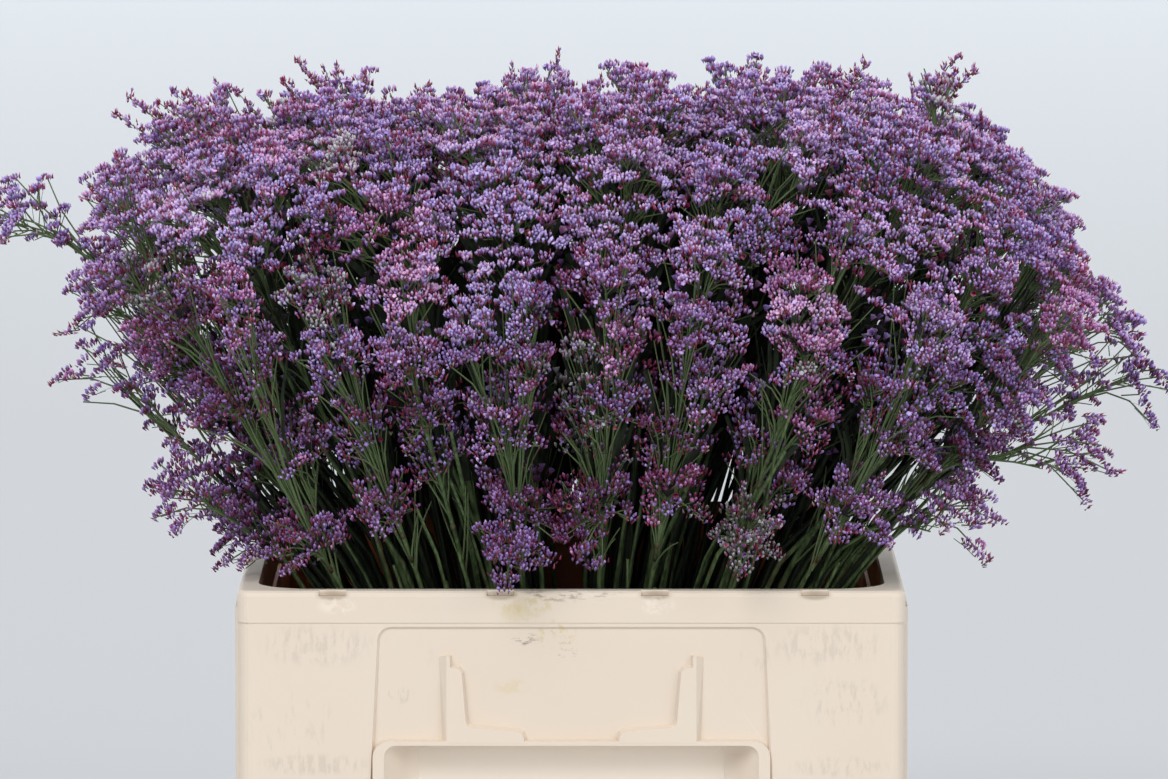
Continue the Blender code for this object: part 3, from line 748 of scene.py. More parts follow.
def fitted(start, way, reach, least, fits):
    """The point that far along a direction, drawn in until it lies in its own room."""
    share = 1.0
    while share > least and not fits(start + way * reach * share):
        share -= FIT_STEP
    return start + way * reach * share


def square_pair(way):
    """Two directions square to a direction and to each other."""
    side = Vector((1, 0, 0)) if abs(way.x) < 0.85 else Vector((0, 1, 0))
    u = (side - way * side.dot(way)).normalized()
    return u, way.cross(u)


def turned(u, v, angle):
    """The direction at this angle from u towards v."""
    return u * math.cos(angle) + v * math.sin(angle)


def weighted(ways, shares):
    """The sum of directions, each times its share."""
    return sum((way * share for way, share in zip(ways, shares)), Vector())


def plan_spray(number, line, centres, cells):
    """The places of one spray: its stem's end, and the root, direction and spikelet tips of each head."""
    rng = random.Random(SEED * 1000 + number)
    end = nearest_along(line, centres[0]) - TWIG_BELOW_TIP
    others = {k: [other for other in centres if other is not centre] for k, centre in enumerate(centres)}
    alongs = [end - TWIG_SUNK]
    for k, centre in enumerate(centres[1:], 1):
        alongs.append(twig_root(line, end - TWIG_SUNK, centre, others[k], number, cells))
    roots = [point_along(line, along)[0] for along in alongs]
    heads = []
    for k, centre in enumerate(centres):
        stem_way = point_along(line, alongs[k])[1]
        ways = (stem_way, (centre - roots[k]).normalized(), crown_normal(centre), UP)
        way = weighted(ways, HEAD_WAY_SHARES).normalized()
        bars = [(roots[j], centres[j]) for j in range(len(centres)) if j != k]
        bars += list(zip(line[1:], line[2:])) if k else []

        def fits(tip):
            lowest = TUB_BACK_TOP if tip.y > 0 else RIM_HEIGHT
            if tip.z < lowest + RIM_GAP or cells.room(tip, number) < CELL_GAP:
                return False
            own = (tip - centre).length
            if any((tip - other).length < own + CELL_GAP for other in others[k]):
                return False
            points = (tip, centre.lerp(tip, SPIKE_CHECK))
            return all(away_from(p, a, b) > SPIKE_TWIG_GAP for p in points for a, b in bars)

        u, v = square_pair(way)
        tips = []
        for side in range(1, HEAD_SIDES + 1):
            angle = math.tau * (side - 0.5) / HEAD_SIDES
            for lift in (SPIKE_OUT, SPIKE_UP):
                turn = angle + rng.uniform(-SPIKE_TURN, SPIKE_TURN)
                rise = lift + rng.uniform(-SPIKE_NOD, SPIKE_NOD)
                spike_way = turned(turned(u, v, turn), way, rise)
                reach = HEAD_REACH * rng.uniform(SPIKE_SHORT, 1.0)
                tips.append(fitted(centre, spike_way, reach, SPIKE_LEAST, fits))
        heads.append(Head(roots[k], alongs[k], stem_way, centre, way, tips))
    return end, heads


def smooth_line(line, end, step):
    """Points along a stem's line up to this length, with its bends rounded, and the length at each."""
    lengths = [0.0]
    for a, b in zip(line, line[1:]):
        lengths.append(lengths[-1] + (b - a).length)
    points, alongs = [], []
    count = max(2, int(end / step))
    for k in range(count + 1):
        along = end * k / count
        n = max(0, min(len(line) - 2, sum(length <= along for length in lengths) - 1))
        t = (along - lengths[n]) / (lengths[n + 1] - lengths[n])
        p1, p2 = line[n], line[n + 1]
        p0 = line[n - 1] if n else p1 - (p2 - p1)
        p3 = line[n + 2] if n + 2 < len(line) else p2 + (p2 - p1)
        span = (p2 - p1).length
        m1 = (p2 - p0) * (span / ((p2 - p1).length + (p1 - p0).length))
        m2 = (p3 - p1) * (span / ((p3 - p2).length + (p2 - p1).length))
        a, b = 2 * t**3 - 3 * t**2 + 1, t**3 - 2 * t**2 + t
        c, d = -2 * t**3 + 3 * t**2, t**3 - t**2
        points.append(p1 * a + m1 * b + p2 * c + m2 * d)
        alongs.append(along)
    return points, alongs


def bent(start, first_way, end, count, lead=0.45):
    """Points on a curve that leaves start in one direction and bends over to end."""
    middle = start + first_way * (end - start).length * lead
    points = []
    for k in range(count + 1):
        t = k / count
        points.append(start * (1 - t) ** 2 + middle * (2 * t * (1 - t)) + end * t**2)
    return points


def point_on(points, place):
    """The point at this place in a list of points, which may lie between two of them."""
    first = int(place)
    return points[first].lerp(points[min(len(points) - 1, first + 1)], place % 1)


def sloped(p):
    """The same point, drawn in at the right shoulder, lower at the far left and where the top dips."""
    over = (p[0] - SHOULDER[0]) * SHOULDER_WAY[0] + (p[2] - SHOULDER[1]) * SHOULDER_WAY[1] + SHOULDER_DEEP
    back = max(0.0, over) * SHOULDER_DRAWN
    droop = max(0.0, DROOP_FROM - p[0]) * DROOP
    top = min(1.0, max(0.0, p[2] - DIP_FROM) / DIP_FADE)
    droop += sum(deep * top * math.exp(-(((p[0] - x) / wide) ** 2)) for x, wide, deep in DIPS)
    return Vector((p[0] - SHOULDER_WAY[0] * back, p[1], p[2] - SHOULDER_WAY[1] * back - droop))


class Strands:
    """Tapered tubes gathered in one triangle list, each with a material number."""

    def __init__(self):
        self.points, self.corners, self.slots = [], [], []

    def add(self, points, radii, profile, slot, turn=0.0):
        """A tube through points with a radius at each, its section a list of radius shares."""
        sides = len(profile)
        points = [sloped(p) for p in points]
        way = (points[1] - points[0]).normalized()
        u = square_pair(way)[0]
        rings = []
        for k, p in enumerate(points):
            way = (points[min(k + 1, len(points) - 1)] - points[max(k - 1, 0)]).normalized()
            u = (u - way * u.dot(way)).normalized()
            v = way.cross(u)
            for s in range(sides):
                angle = turn + math.tau * s / sides
                rings.append(p + turned(u, v, angle) * (radii[k] * profile[s]))
        base = len(self.points)
        self.points.extend(tuple(p) for p in rings)
        for k in range(len(points) - 1):
            for s in range(sides):
                n = (s + 1) % sides
                a, b = base + k * sides + s, base + k * sides + n
                c, d = b + sides, a + sides
                self.corners.append((a, b, c))
                self.corners.append((a, c, d))
                self.slots.extend((slot, slot))
        last = base + (len(points) - 1) * sides
        for s in range(1, sides - 1 if sides > 3 else 1):
            self.corners.append((base, base + s + 1, base + s))
            self.corners.append((last, last + s, last + s + 1))
            self.slots.extend((slot, slot))

    def ribbon(self, points, width, twist, slot):
        """A flat strip through points, widest in its middle, its broad side turned outward."""
        points = [sloped(p) for p in points]
        base = len(self.points)
        last = len(points) - 1
        for k, p in enumerate(points):
            way = (points[min(k + 1, last)] - points[max(k - 1, 0)]).normalized()
            across = way.cross(Vector((p.x, p.y, RIBBON_LIFT))).normalized()
            across = turned(across, way.cross(across), twist)
            half = across * (width / 2 * (0.35 + 0.65 * math.sin(math.pi * (0.12 + 0.80 * k / last))))
            self.points.extend((tuple(p - half), tuple(p + half)))
        for k in range(last):
            a = base + 2 * k
            self.corners.extend(((a, a + 1, a + 3), (a, a + 3, a + 2)))
            self.slots.extend((slot, slot))


def triangle_piece(name, points, corners, slots, smooth, materials):
    """An object from arrays of points, triangle corners and material numbers."""
    mesh = bpy.data.meshes.new(name)
    mesh.vertices.add(len(points))
    mesh.vertices.foreach_set("co", np.asarray(points, np.float32).ravel())
    mesh.loops.add(3 * len(corners))
    mesh.loops.foreach_set("vertex_index", np.asarray(corners, np.int32).ravel())
    mesh.polygons.add(len(corners))
    mesh.polygons.foreach_set("loop_start", np.arange(0, 3 * len(corners), 3, dtype=np.int32))
    mesh.polygons.foreach_set("material_index", np.asarray(slots, np.int32))
    mesh.polygons.foreach_set("use_smooth", np.full(len(corners), smooth))
    mesh.update(calc_edges=True)
    mesh.validate()
    for material in materials:
        mesh.materials.append(material)
    item = bpy.data.objects.new(name, mesh)
    bpy.context.scene.collection.objects.link(item)
    return item


def streak_group():
    """Two values for plant skin: streaks that run up a stem, and blotches."""
    tree, given, out = new_group(
        "stem_streaks",
        (("Grain", "NodeSocketFloat", 260.0), ("Blotch", "NodeSocketFloat", 38.0)),
        (("Streak", "NodeSocketFloat"), ("Blotch", "NodeSocketFloat")),
    )
    place = object_place(tree)
    drawn_out = vector_of(tree, "MULTIPLY", place, STREAK_STRETCH)
    streak = noise_of(tree, drawn_out, given.outputs["Grain"], *STREAK_DETAIL)
    tree.links.new(streak, out.inputs["Streak"])
    blotch = noise_of(tree, place, given.outputs["Blotch"], *STREAK_DETAIL)
    tree.links.new(blotch, out.inputs["Blotch"])
    return tree


stem_streaks = streak_group()


def plant_skin(name, main, dark, brown, roughness, grain, blotch):
    """A green or brown plant skin with streaks and blotches."""
    made, shader, tree = new_material(name, roughness, 0.3)
    streaks = add_node(tree, "Group", {"Grain": grain, "Blotch": blotch}, node_tree=stem_streaks).outputs
    colour = mixed(tree, ranged(tree, streaks["Streak"], *STREAKED), dark, main)
    browned = ranged(tree, streaks["Blotch"], *BLOTCHED)
    coloured(tree, shader, mixed(tree, browned, colour, brown), main)
    return made


stem_materials = (
    plant_skin("stem_green", STEM_GREEN, STEM_DARK, STEM_BROWN, 0.62, 260.0, 38.0),
    plant_skin("twig_green", TWIG_GREEN, STEM_GREEN, STEM_BROWN, 0.62, 300.0, 60.0),
    plant_skin("node_brown", STEM_BROWN, STEM_DARK, TWIG_GREEN, 0.75, 300.0, 90.0),
    # Painted shade: a near-black green for the wings and the stems inside the bundle.
    plant_skin("painted_shade_green", PAINTED_SHADE_GREEN, PAINTED_SHADE_DARK, PAINTED_SHADE_DARK, 0.80, 200.0, 40.0),
)

lines = stem_lines()
cells = Cells(lines)
head_places = spread_heads(lines, cells)
plans = [plan_spray(number, line, head_places[number], cells) for number, line in enumerate(lines)]

# Clusters: every spikelet of a head carries short tufts of small florets and buds on thin green
# twiglets, papery lilac florets among burgundy buds. Each is set by the tip of its packed spikelet.
SPIKE_FEET = (3.2, 6.0)
SPIKE_STUB = 0.004
SPIKE_LEAD = 0.55
ROOT_SPREAD = 0.14
TUFT_STEP = 0.0088
TUFT_BACK = 0.0060
TUFT_INNER = 0.30
TUFT_SIDE = 0.0200
TUFT_GAP = 0.0080
TUFT_SINGLE = 0.14
TUFT_HIDDEN = -0.22
TUFT_ASIDE = (0.7, 1.1)
TUFT_RAISED = (-0.1, 0.7)
TUFT_DRIFT = 0.003
TUFT_SPREAD = (0.85, 1.15)
TUFT_FACING = (0.38, 0.40, 0.24, 0.72, 20)
TUFT_TURN = 0.22
SIDE_ROOT = (0.8, 1.5)
SIDE_DROP = 0.012
SIDE_FACING = (0.40, 0.35, 0.70)
SIDE_TURN = 0.30
FOOT_SUNK = 0.0040
FOOT_RAISED = 0.12
FOOT_SHARES = (0.1, 0.95)
TWIGLET_WIDTH = 0.0022
SPIKE_RADII = (0.0011, 0.0007)
SIDE_RADII = (0.0011, 0.0006)
SHOOT_COUNT = 10
SHOOT_SPAN = (0.01, 0.93)
SHOOT_LONG = (0.045, 0.105)
SHOOT_ASIDE = (0.014, 0.036)
SHOOT_DEPTH = 0.97
SHOOT_RADII = (0.0013, 0.0006)
NODE_AT = (-0.003, 0.001, 0.004)
NODE_SWELL = (1.05, 1.4, 1.05)
# Companions are more stems round each packed one, and deep stems fill the shade inside the bundle. Those
# inside and the deep stems wear a painted shade green. Lanes are the openings seen between the stems at the
# rim: x and half width.
COMPANIONS = 5
COMPANION_RADII = (0.0033, 0.0018)
COMPANION_REACH = (0.60, 0.95)
COMPANION_SPREAD = 0.028
COMPANION_TURN = 0.3
COMPANION_NEAR = (0.55, 1.15)
COMPANION_SWING = (0.6, 1.9)
COMPANION_FAR = (0.8, 1.3)
COMPANION_LIMITS = ((-0.261, 0.261), (-0.158, 0.150))
COMPANION_STEP = 0.055
COMPANION_CROSS = 0.16
GATHERED = 0.25
MIDDLE_LANE = (-0.006, 0.020)
LANES = (
    (-0.262, 0.008), (-0.228, 0.007), (-0.170, 0.006), (-0.118, 0.006), MIDDLE_LANE, (0.060, 0.006),
    (0.165, 0.006),
)
# Companions within these bounds wear the painted shade green.
DARK_INSIDE = 0.085
DARK_WIDTH = 0.22
DEEP_STEMS = 12
DEEP_WIDTH = 0.235
DEEP_CLEAR = 0.022
DEEP_SPREAD = 0.024
DEEP_DRIFT = (0.07, 0.05)
DEEP_REACH = (0.62, 0.80)
DEEP_STEP = 0.130
DEEP_CROSS = 0.20
DEEP_RADII = (0.0034, 0.0022)
FILL_DEPTHS = (0.86, 0.95)
FILL_GAPS = (0.0100, 0.0110)
FILL_LOW = 0.10
FILL_RISE = (0.46, 0.13)
SIDE_OPEN = 0.365
SIDE_FILL = 0.35
INNER_DEPTHS = (0.66, 0.82)
INNER_GAPS = (0.0260, 0.0260)
HEART_DEPTHS = (0.45, 0.60)
HEART_GAPS = (0.0400, 0.0400)
WAY_SPREAD = (1.35, 1.0, 0.9)
# Heads sink by one of these depths, and twice as far at the top and the sides. Some tufts are missing
# at the sides and on the highest heads that stand out.
HEAD_SUNK = (0.0, 0.0, 0.002, 0.005, 0.009, 0.014)
SUNK_DOWN = 0.6
TOP_HEADS = 0.72
SIDE_HEADS = 0.375
SIDE_MISSING = 0.18
SPARE_STRAY = 0.78
STRAY_MISSING = 0.4
STRAY_DEPTH = 1.02
STRAY_STEP = 0.0036
STRAY_BARE = 0.24
STRAY_ASIDE = (0.008, 0.020)
STRAY_RAISED = (0.010, 0.009)
STRAY_FACING = (22, 0.6, 0.9)
STRAY_RADII = (0.0008, 0.0006, 0.0005)
HANGING = (Vector((-0.030, -0.200, 0.452)), Vector((0.018, -0.198, 0.392)))
HANGING_TUFTS = 26
HANGING_LOW = 0.018
HANGING_SPREAD = 0.010
HANGING_WAY = (0, -0.8, 0.2)
# Tufts between the heads share a mood of colour with those in the same patch of the crown.
FIRST_PATCH = 10000
HANGING_PATCH = 20000
PATCHES_PER_METRE = 25
PATCH_ROWS = 50
# Sections of plain tubes with three, four and five sides.
THREE = (1.0,) * 3
FOUR = (1.0,) * 4
FIVE = (1.0,) * 5
CROWN_HEART = np.array((CROWN_SHIFT_X, 0, CROWN_SHOULDER))


def unit(vectors):
    """The same vectors with length 1."""
    return vectors / np.linalg.norm(vectors, axis=1, keepdims=True)


def depth_of(points):
    """The crown's depth at many points at once."""
    waist = np.clip((CROWN_WAIST - points[:, 2]) / (CROWN_WAIST - CROWN_LOW), 0, 1)
    waist = 1 - CROWN_TAPER * waist * waist * (3 - 2 * waist)
    x = np.abs(points[:, 0] - CROWN_SHIFT_X) / (CROWN_HALF[0] * waist)
    y = np.abs(points[:, 1]) / (CROWN_HALF[1] * waist)
    z = np.maximum(0, points[:, 2] - CROWN_SHOULDER) / (CROWN_TOP - CROWN_SHOULDER)
    return (x**CROWN_POWER + y**CROWN_POWER + z**CROWN_POWER) ** (1 / CROWN_POWER)


def on_skin(ways, depths):
    """Points at these depths of the crown, seen from its heart in these directions."""
    low, high = np.zeros(len(ways)), np.full(len(ways), 0.9)
    for _ in range(20):
        middle = (low + high) / 2
        inside = depth_of(CROWN_HEART + ways * middle[:, None]) < depths
        low, high = np.where(inside, middle, low), np.where(inside, high, middle)
    return CROWN_HEART + ways * low[:, None]


def gaps_among(spots, depth, least, spacing, tries, draw):
    """Directions from the heart in which no spot lies near the crown's skin at this depth."""
    seen = on_skin(unit(spots - CROWN_HEART), np.full(len(spots), depth))
    grid = {}
    for p in seen:
        grid.setdefault(tuple(np.floor(p / spacing).astype(int)), []).append((p, least))
    ways = unit(draw.normal(0, 1, (tries, 3)) * WAY_SPREAD)
    found = []
    for way, p in zip(ways, on_skin(ways, np.full(tries, depth))):
        if p[2] < (CROWN_LOW_BACK if p[1] > 0 else CROWN_LOW):
            continue
        x, y, z = np.floor(p / spacing).astype(int)
        near = (
            (other, gap)
            for i in (x - 1, x, x + 1) for j in (y - 1, y, y + 1) for k in (z - 1, z, z + 1)
            for other, gap in grid.get((i, j, k), ())
        )
        if any(((p - other) ** 2).sum() < gap * gap for other, gap in near):
            continue
        grid.setdefault((x, y, z), []).append((p, spacing))
        found.append(way)
    return np.array(found)


def jitter(rng, size):
    """A small random shift, even within this size on each axis."""
    return Vector([rng.uniform(-size, size) for _ in range(3)])


def strewn(rng, size):
    """A small random shift that is mostly shorter than this size."""
    return Vector([rng.gauss(0, size) for _ in range(3)])


def add_tuft(tufts, spot, facing, head_number, inner):
    """Note one tuft: where it sits, which way it faces, its head, and whether it lies deep inside."""
    tufts.append((*sloped(spot), *facing, head_number, inner))


def grow_spikelets(head, base, centre, sunk, head_number, twig, loose, strands, tufts, rng):
    """The spikelets of one head, with tufts along and beside each, fewer where the head is loose."""
    outward = crown_normal(head.centre)
    placed = []
    for tip in head.tips:
        tip = tip + sunk
        length = (tip - centre).length
        axis = (tip - centre) / length
        rise = (head.way - axis * head.way.dot(axis)).normalized()
        side = axis.cross(rise)
        spike_end = centre + axis * max(length - TUFT_BACK, SPIKE_STUB)
        low = rng.uniform(*SPIKE_FEET)
        first_way = (head.way + head.stem_way * (1 - low / TWIG_STEPS)).normalized()
        spike = bent(point_on(twig, low), first_way, spike_end, 3, SPIKE_LEAD)
        strands.add(spike, np.linspace(*SPIKE_RADII, len(spike)), THREE, 1)
        reach = length - TUFT_BACK
        hands = [0]
        while reach > length * TUFT_INNER or hands == [0]:
            room = 1 - reach / length
            for hand in hands:
                sideways = side * (hand * TUFT_SIDE * room * rng.uniform(*TUFT_ASIDE))
                raised = rise * (TUFT_SIDE * room * rng.uniform(*TUFT_RAISED))
                drift = axis * rng.uniform(-TUFT_DRIFT, TUFT_DRIFT)
                spot = centre + axis * reach + sideways + raised + drift
                if hand and (spot - centre).dot(outward) < TUFT_HIDDEN * HEAD_REACH:
                    continue
                facing = weighted((axis, head.way, outward, UP, sideways + raised), TUFT_FACING)
                facing = (facing + jitter(rng, TUFT_TURN)).normalized()
                if any((spot - other).length < TUFT_GAP for other in placed):
                    continue
                placed.append(spot)
                if any(rng.random() < missing for missing in loose):
                    continue
                add_tuft(tufts, spot, facing, head_number, 0)
                from_share = max(FOOT_SHARES[0], (reach - TUFT_STEP) / length)
                lift = head.way * (HEAD_REACH * FOOT_RAISED * (1 - from_share))
                foot = base.lerp(spike_end, min(FOOT_SHARES[1], from_share)) + lift
                strands.ribbon([foot, spot - facing * FOOT_SUNK], TWIGLET_WIDTH, rng.uniform(-1, 1), 1)
            reach -= TUFT_STEP * rng.uniform(*TUFT_SPREAD)
            hands = [-1, 1] if 1 - reach / length > TUFT_SINGLE else [rng.choice((-1, 1))]


def dress_stray_twig(head, base, head_number, twig, strands, tufts, rng):
    """Tufts up the twig of a head that stands out of the crown, each on its own short foot."""
    steps = int((base - head.root).length / STRAY_STEP)
    for step in range(int(steps * STRAY_BARE), steps):
        share = (step + rng.uniform(-0.3, 0.3)) / steps
        on_twig = point_on(twig, share * TWIG_STEPS)
        sideways = jitter(rng, 1).normalized() * rng.uniform(*STRAY_ASIDE)
        spot = on_twig + sideways + head.way * STRAY_RAISED[0] + UP * STRAY_RAISED[1]
        facing = weighted((sideways, head.way, UP), STRAY_FACING).normalized()
        strands.add(bent(on_twig, head.way, spot - facing * FOOT_SUNK, 2), STRAY_RADII, THREE, 1)
        add_tuft(tufts, spot, facing, head_number, 0)


def gathered(length, rim_along):
    """The share of its shift at the rim that a stem has at this length: less towards the foot."""
    return GATHERED + (1 - GATHERED) * ease(length / rim_along)


def add_companions(line, end, rim_along, strands, rng):
    """More stems round a packed one, spread at the rim and crossing it above, with the lanes left open."""
    for turn in range(COMPANIONS):
        reach_share = rng.uniform(*COMPANION_REACH)
        swing = math.tau * (turn + rng.uniform(-COMPANION_TURN, COMPANION_TURN)) / COMPANIONS
        spread = COMPANION_SPREAD * rng.uniform(*COMPANION_NEAR)
        offset = Vector((math.cos(swing), math.sin(swing), 0)) * spread
        for axis, (least, most) in enumerate(COMPANION_LIMITS):
            offset[axis] = max(least, min(most, line[1][axis] + offset[axis])) - line[1][axis]
        rim_x, rim_y = line[1][0] + offset[0], line[1][1] + offset[1]
        if any(abs(rim_x - lane) < half for lane, half in LANES):
            continue
        # Companions inside the bundle take the painted shade green.
        skin = 3 if abs(rim_y) < DARK_INSIDE and abs(rim_x) < DARK_WIDTH else 0
        points, alongs = smooth_line(line, end * reach_share, COMPANION_STEP)
        swing += rng.uniform(*COMPANION_SWING) * rng.choice((-1, 1))
        crossed = Vector((math.cos(swing), math.sin(swing), 0)) * spread * rng.uniform(*COMPANION_FAR)
        shifted = []
        for p, length in zip(points, alongs):
            over = ease((length - rim_along) / COMPANION_CROSS)
            shifted.append(p + (offset * gathered(length, rim_along)).lerp(crossed, over))
        strands.add(shifted, np.linspace(*COMPANION_RADII, len(shifted)), THREE, skin, swing)


def add_deep_stems(line, end, rim_along, strands, rng):
    """Stems in the shade inside the bundle, in painted shade green, which leave the middle lane open."""
    for _ in range(DEEP_STEMS):
        rim_x, rim_y = (line[1][k] + rng.uniform(-DEEP_SPREAD, DEEP_SPREAD) for k in range(2))
        if abs(rim_y) > DARK_INSIDE or abs(rim_x) > DEEP_WIDTH or abs(rim_x - MIDDLE_LANE[0]) < DEEP_CLEAR:
            continue
        offset = Vector((rim_x - line[1].x, rim_y - line[1].y, 0))
        drift = Vector([rng.uniform(-most, most) for most in DEEP_DRIFT] + [0])
        points, alongs = smooth_line(line, end * rng.uniform(*DEEP_REACH), DEEP_STEP)
        shifted = []
        for p, length in zip(points, alongs):
            over = ease((length - rim_along) / DEEP_CROSS)
            shifted.append(p + offset * gathered(length, rim_along) + drift * over)
        # Deep stems wear the painted shade green.
        strands.add(shifted, np.linspace(*DEEP_RADII, len(shifted)), THREE, 3, rng.uniform(0, 3))


def add_shoots(line, end, rim_along, strands, rng):
    """Short bare side shoots up a stem, kept within the crown."""
    for _ in range(SHOOT_COUNT):
        along = rng.uniform(rim_along + SHOOT_SPAN[0], end * SHOOT_SPAN[1])
        start, stem_way = point_along(line, along)
        sideways = turned(*square_pair(stem_way), rng.uniform(0, math.tau))
        stop = start + stem_way * rng.uniform(*SHOOT_LONG) + sideways * rng.uniform(*SHOOT_ASIDE)
        shoot = bent(start, (stem_way + sideways * 0.3).normalized(), stop, 4, 0.5)
        if crown_depth(stop) < SHOOT_DEPTH:
            strands.add(shoot, np.linspace(*SHOOT_RADII, len(shoot)), THREE, 1)


tuft_sets = []
all_strands = []
heart_places = {}
head_sinks = {}
for number, (line, (end, heads)) in enumerate(zip(lines, plans)):
    rng = random.Random(SEED * 7000 + number)
    strands = Strands()
    points, alongs = smooth_line(line, end, STEM_STEP)
    radii = [STEM_RADII[0] + (STEM_RADII[1] - STEM_RADII[0]) * along / end for along in alongs]
    strands.add(points, radii, WING, 0, rng.uniform(0, 3))
    tufts = []
    for order, head in enumerate(heads):
        head_number = number * 100 + order
        base = head.centre - head.way * HEAD_REACH * HEAD_NECK
        node = [head.root + head.stem_way * along for along in NODE_AT]
        radius = STEM_RADII[1] + (STEM_RADII[0] - STEM_RADII[1]) * (1 - head.along / end)
        strands.add(node, [radius * swell for swell in NODE_SWELL], FIVE, 2)
        stray = crown_depth(head.centre) > STRAY_DEPTH
        at_side = abs(head.centre.x - CROWN_SHIFT_X) > SIDE_HEADS
        sinking = rng.choice(HEAD_SUNK) * (1.0 + max(head.centre.z > TOP_HEADS, at_side))
        sunk = (crown_normal(head.centre) + UP * SUNK_DOWN) * (0 if stray else -sinking)
        base, centre = base + sunk, head.centre + sunk
        head_sinks[head_number] = sunk
        if not stray and not at_side:
            heart_places[head_number] = sloped(centre)
        twig = bent(head.root, head.stem_way, base, TWIG_STEPS)
        strands.add(twig, np.linspace(*TWIG_RADII, len(twig)), FOUR, 1)
        loose = [STRAY_MISSING] if stray and centre.z > SPARE_STRAY else []
        loose += [SIDE_MISSING] if at_side else []
        grow_spikelets(head, base, centre, sunk, head_number, twig, loose, strands, tufts, rng)
        if stray:
            dress_stray_twig(head, base, head_number, twig, strands, tufts, rng)
    rim_along = (line[1] - line[0]).length
    add_companions(line, end, rim_along, strands, rng)
    add_deep_stems(line, end, rim_along, strands, rng)
    add_shoots(line, end, rim_along, strands, rng)
    all_strands.append(strands)
    tuft_sets.append(tufts)


def grow_side_tuft(spot, way, inner, head_number, rng):
    """A tuft between the heads, on a twig from the stem in whose room it lies."""
    spot = Vector(spot)
    number = cells.nearest(spot)
    line, end = lines[number], plans[number][0]
    near = min(nearest_along(line, spot), end)
    away = (point_along(line, near)[0] - spot).length
    lowest = (line[1] - line[0]).length + TWIG_ABOVE_RIM + rng.uniform(0, ROOT_SPREAD)
    along = max(lowest, near - away * rng.uniform(*SIDE_ROOT) - SIDE_DROP)
    root, stem_way = point_along(line, min(along, end))
    facing = weighted((Vector(way), stem_way, UP), SIDE_FACING)
    facing = (facing + jitter(rng, SIDE_TURN)).normalized()
    twig = bent(root, stem_way, spot - facing * FOOT_SUNK, 3, 0.5)
    all_strands[number].add(twig, np.linspace(*SIDE_RADII, len(twig)), THREE, 1)
    add_tuft(tuft_sets[number], spot, facing, head_number, inner)


rng = random.Random(SEED * 77)
draw = np.random.default_rng(SEED * 78)
spots = np.array([tuft[:3] for tufts in tuft_sets for tuft in tufts])
# Layers of tufts between the heads: the spots to keep clear of, the depth at which gaps are looked for,
# the gaps, how often to try, the depths of the tufts, and whether they lie deep inside.
LAYERS = (
    (spots, 0.93, FILL_GAPS, 60000, FILL_DEPTHS, 0),
    (spots[:1], 0.75, INNER_GAPS, 16000, INNER_DEPTHS, 1),
    (spots[:1], 0.52, HEART_GAPS, 6000, HEART_DEPTHS, 1),
)
found = [gaps_among(taken, depth, *gaps, tries, draw) for taken, depth, gaps, tries, _, _ in LAYERS]
for ways, (_, _, _, _, depths, inner) in zip(found, LAYERS):
    places = on_skin(ways, draw.uniform(*depths, len(ways)))
    risen = (places[:, 2] - FILL_RISE[0]) / FILL_RISE[1]
    keep = inner + draw.random(len(ways)) < FILL_LOW + (1 - FILL_LOW) * risen + inner
    aside = np.abs(places[:, 0] - CROWN_SHIFT_X) > SIDE_OPEN
    keep &= ~aside | (inner > 0) | (draw.random(len(ways)) < SIDE_FILL)
    for way, place in zip(ways[keep], places[keep]):
        column, row = int(place[0] * PATCHES_PER_METRE), int(place[2] * PATCHES_PER_METRE)
        grow_side_tuft(place, way, inner, FIRST_PATCH + column * PATCH_ROWS + row, rng)

# A branch hangs out over the rim in the middle of the front.
for _ in range(HANGING_TUFTS):
    place = HANGING[0].lerp(HANGING[1], rng.random()) + strewn(rng, HANGING_SPREAD)
    if place.z > RIM_HEIGHT + HANGING_LOW:
        grow_side_tuft(place, HANGING_WAY, 0, HANGING_PATCH, rng)

# Wings: flat green strips that the stems of statice carry, spread through the inside of the crown.
# They are broader and darker than the twigs, their near-black green painted shade, and they shade the gaps
# between the heads.
WING_COUNT = 5800
WING_LOW = ((0.500, 0.070), (0.425, 0.010))
WING_WIDTH = (0.0040, 0.0066)
WING_REACH = (0.080, 0.150)
WING_DEPTHS = (0.05, 0.86)
WING_DEEP = 0.78
WING_BROAD = 1.6
WING_LEAST = 0.4
WING_BARE = 0.25
WING_ROOTS = 0.04
WING_TWIST = 0.6

ways = unit(draw.normal(0, 1, (WING_COUNT, 3)) * WAY_SPREAD)
for place in on_skin(ways, draw.uniform(*WING_DEPTHS, WING_COUNT) ** 0.5):
    stop = Vector(place)
    number = cells.nearest(stop)
    line, end = lines[number], plans[number][0]
    rim_along = (line[1] - line[0]).length
    near = min(nearest_along(line, stop), end)
    reach = rng.uniform(*WING_REACH)
    lowest, foot_room = WING_LOW[stop.y > 0]
    lowest_root = rim_along + foot_room + rng.uniform(0.0, WING_ROOTS)
    start, stem_way = point_along(line, max(lowest_root, near - reach))
    if stop.z < lowest or (stop - start).length < WING_LEAST * reach:
        continue
    middle_way = (stem_way + (stop - start).normalized()).normalized()
    wing = bent(start.lerp(stop, WING_BARE), middle_way, stop, 3, 0.5)
    width = rng.uniform(*WING_WIDTH) * (1.0 if crown_depth(stop) > WING_DEEP else WING_BROAD)
    # Wings wear the painted shade green.
    all_strands[number].ribbon(wing, width, rng.uniform(-WING_TWIST, WING_TWIST), 3)

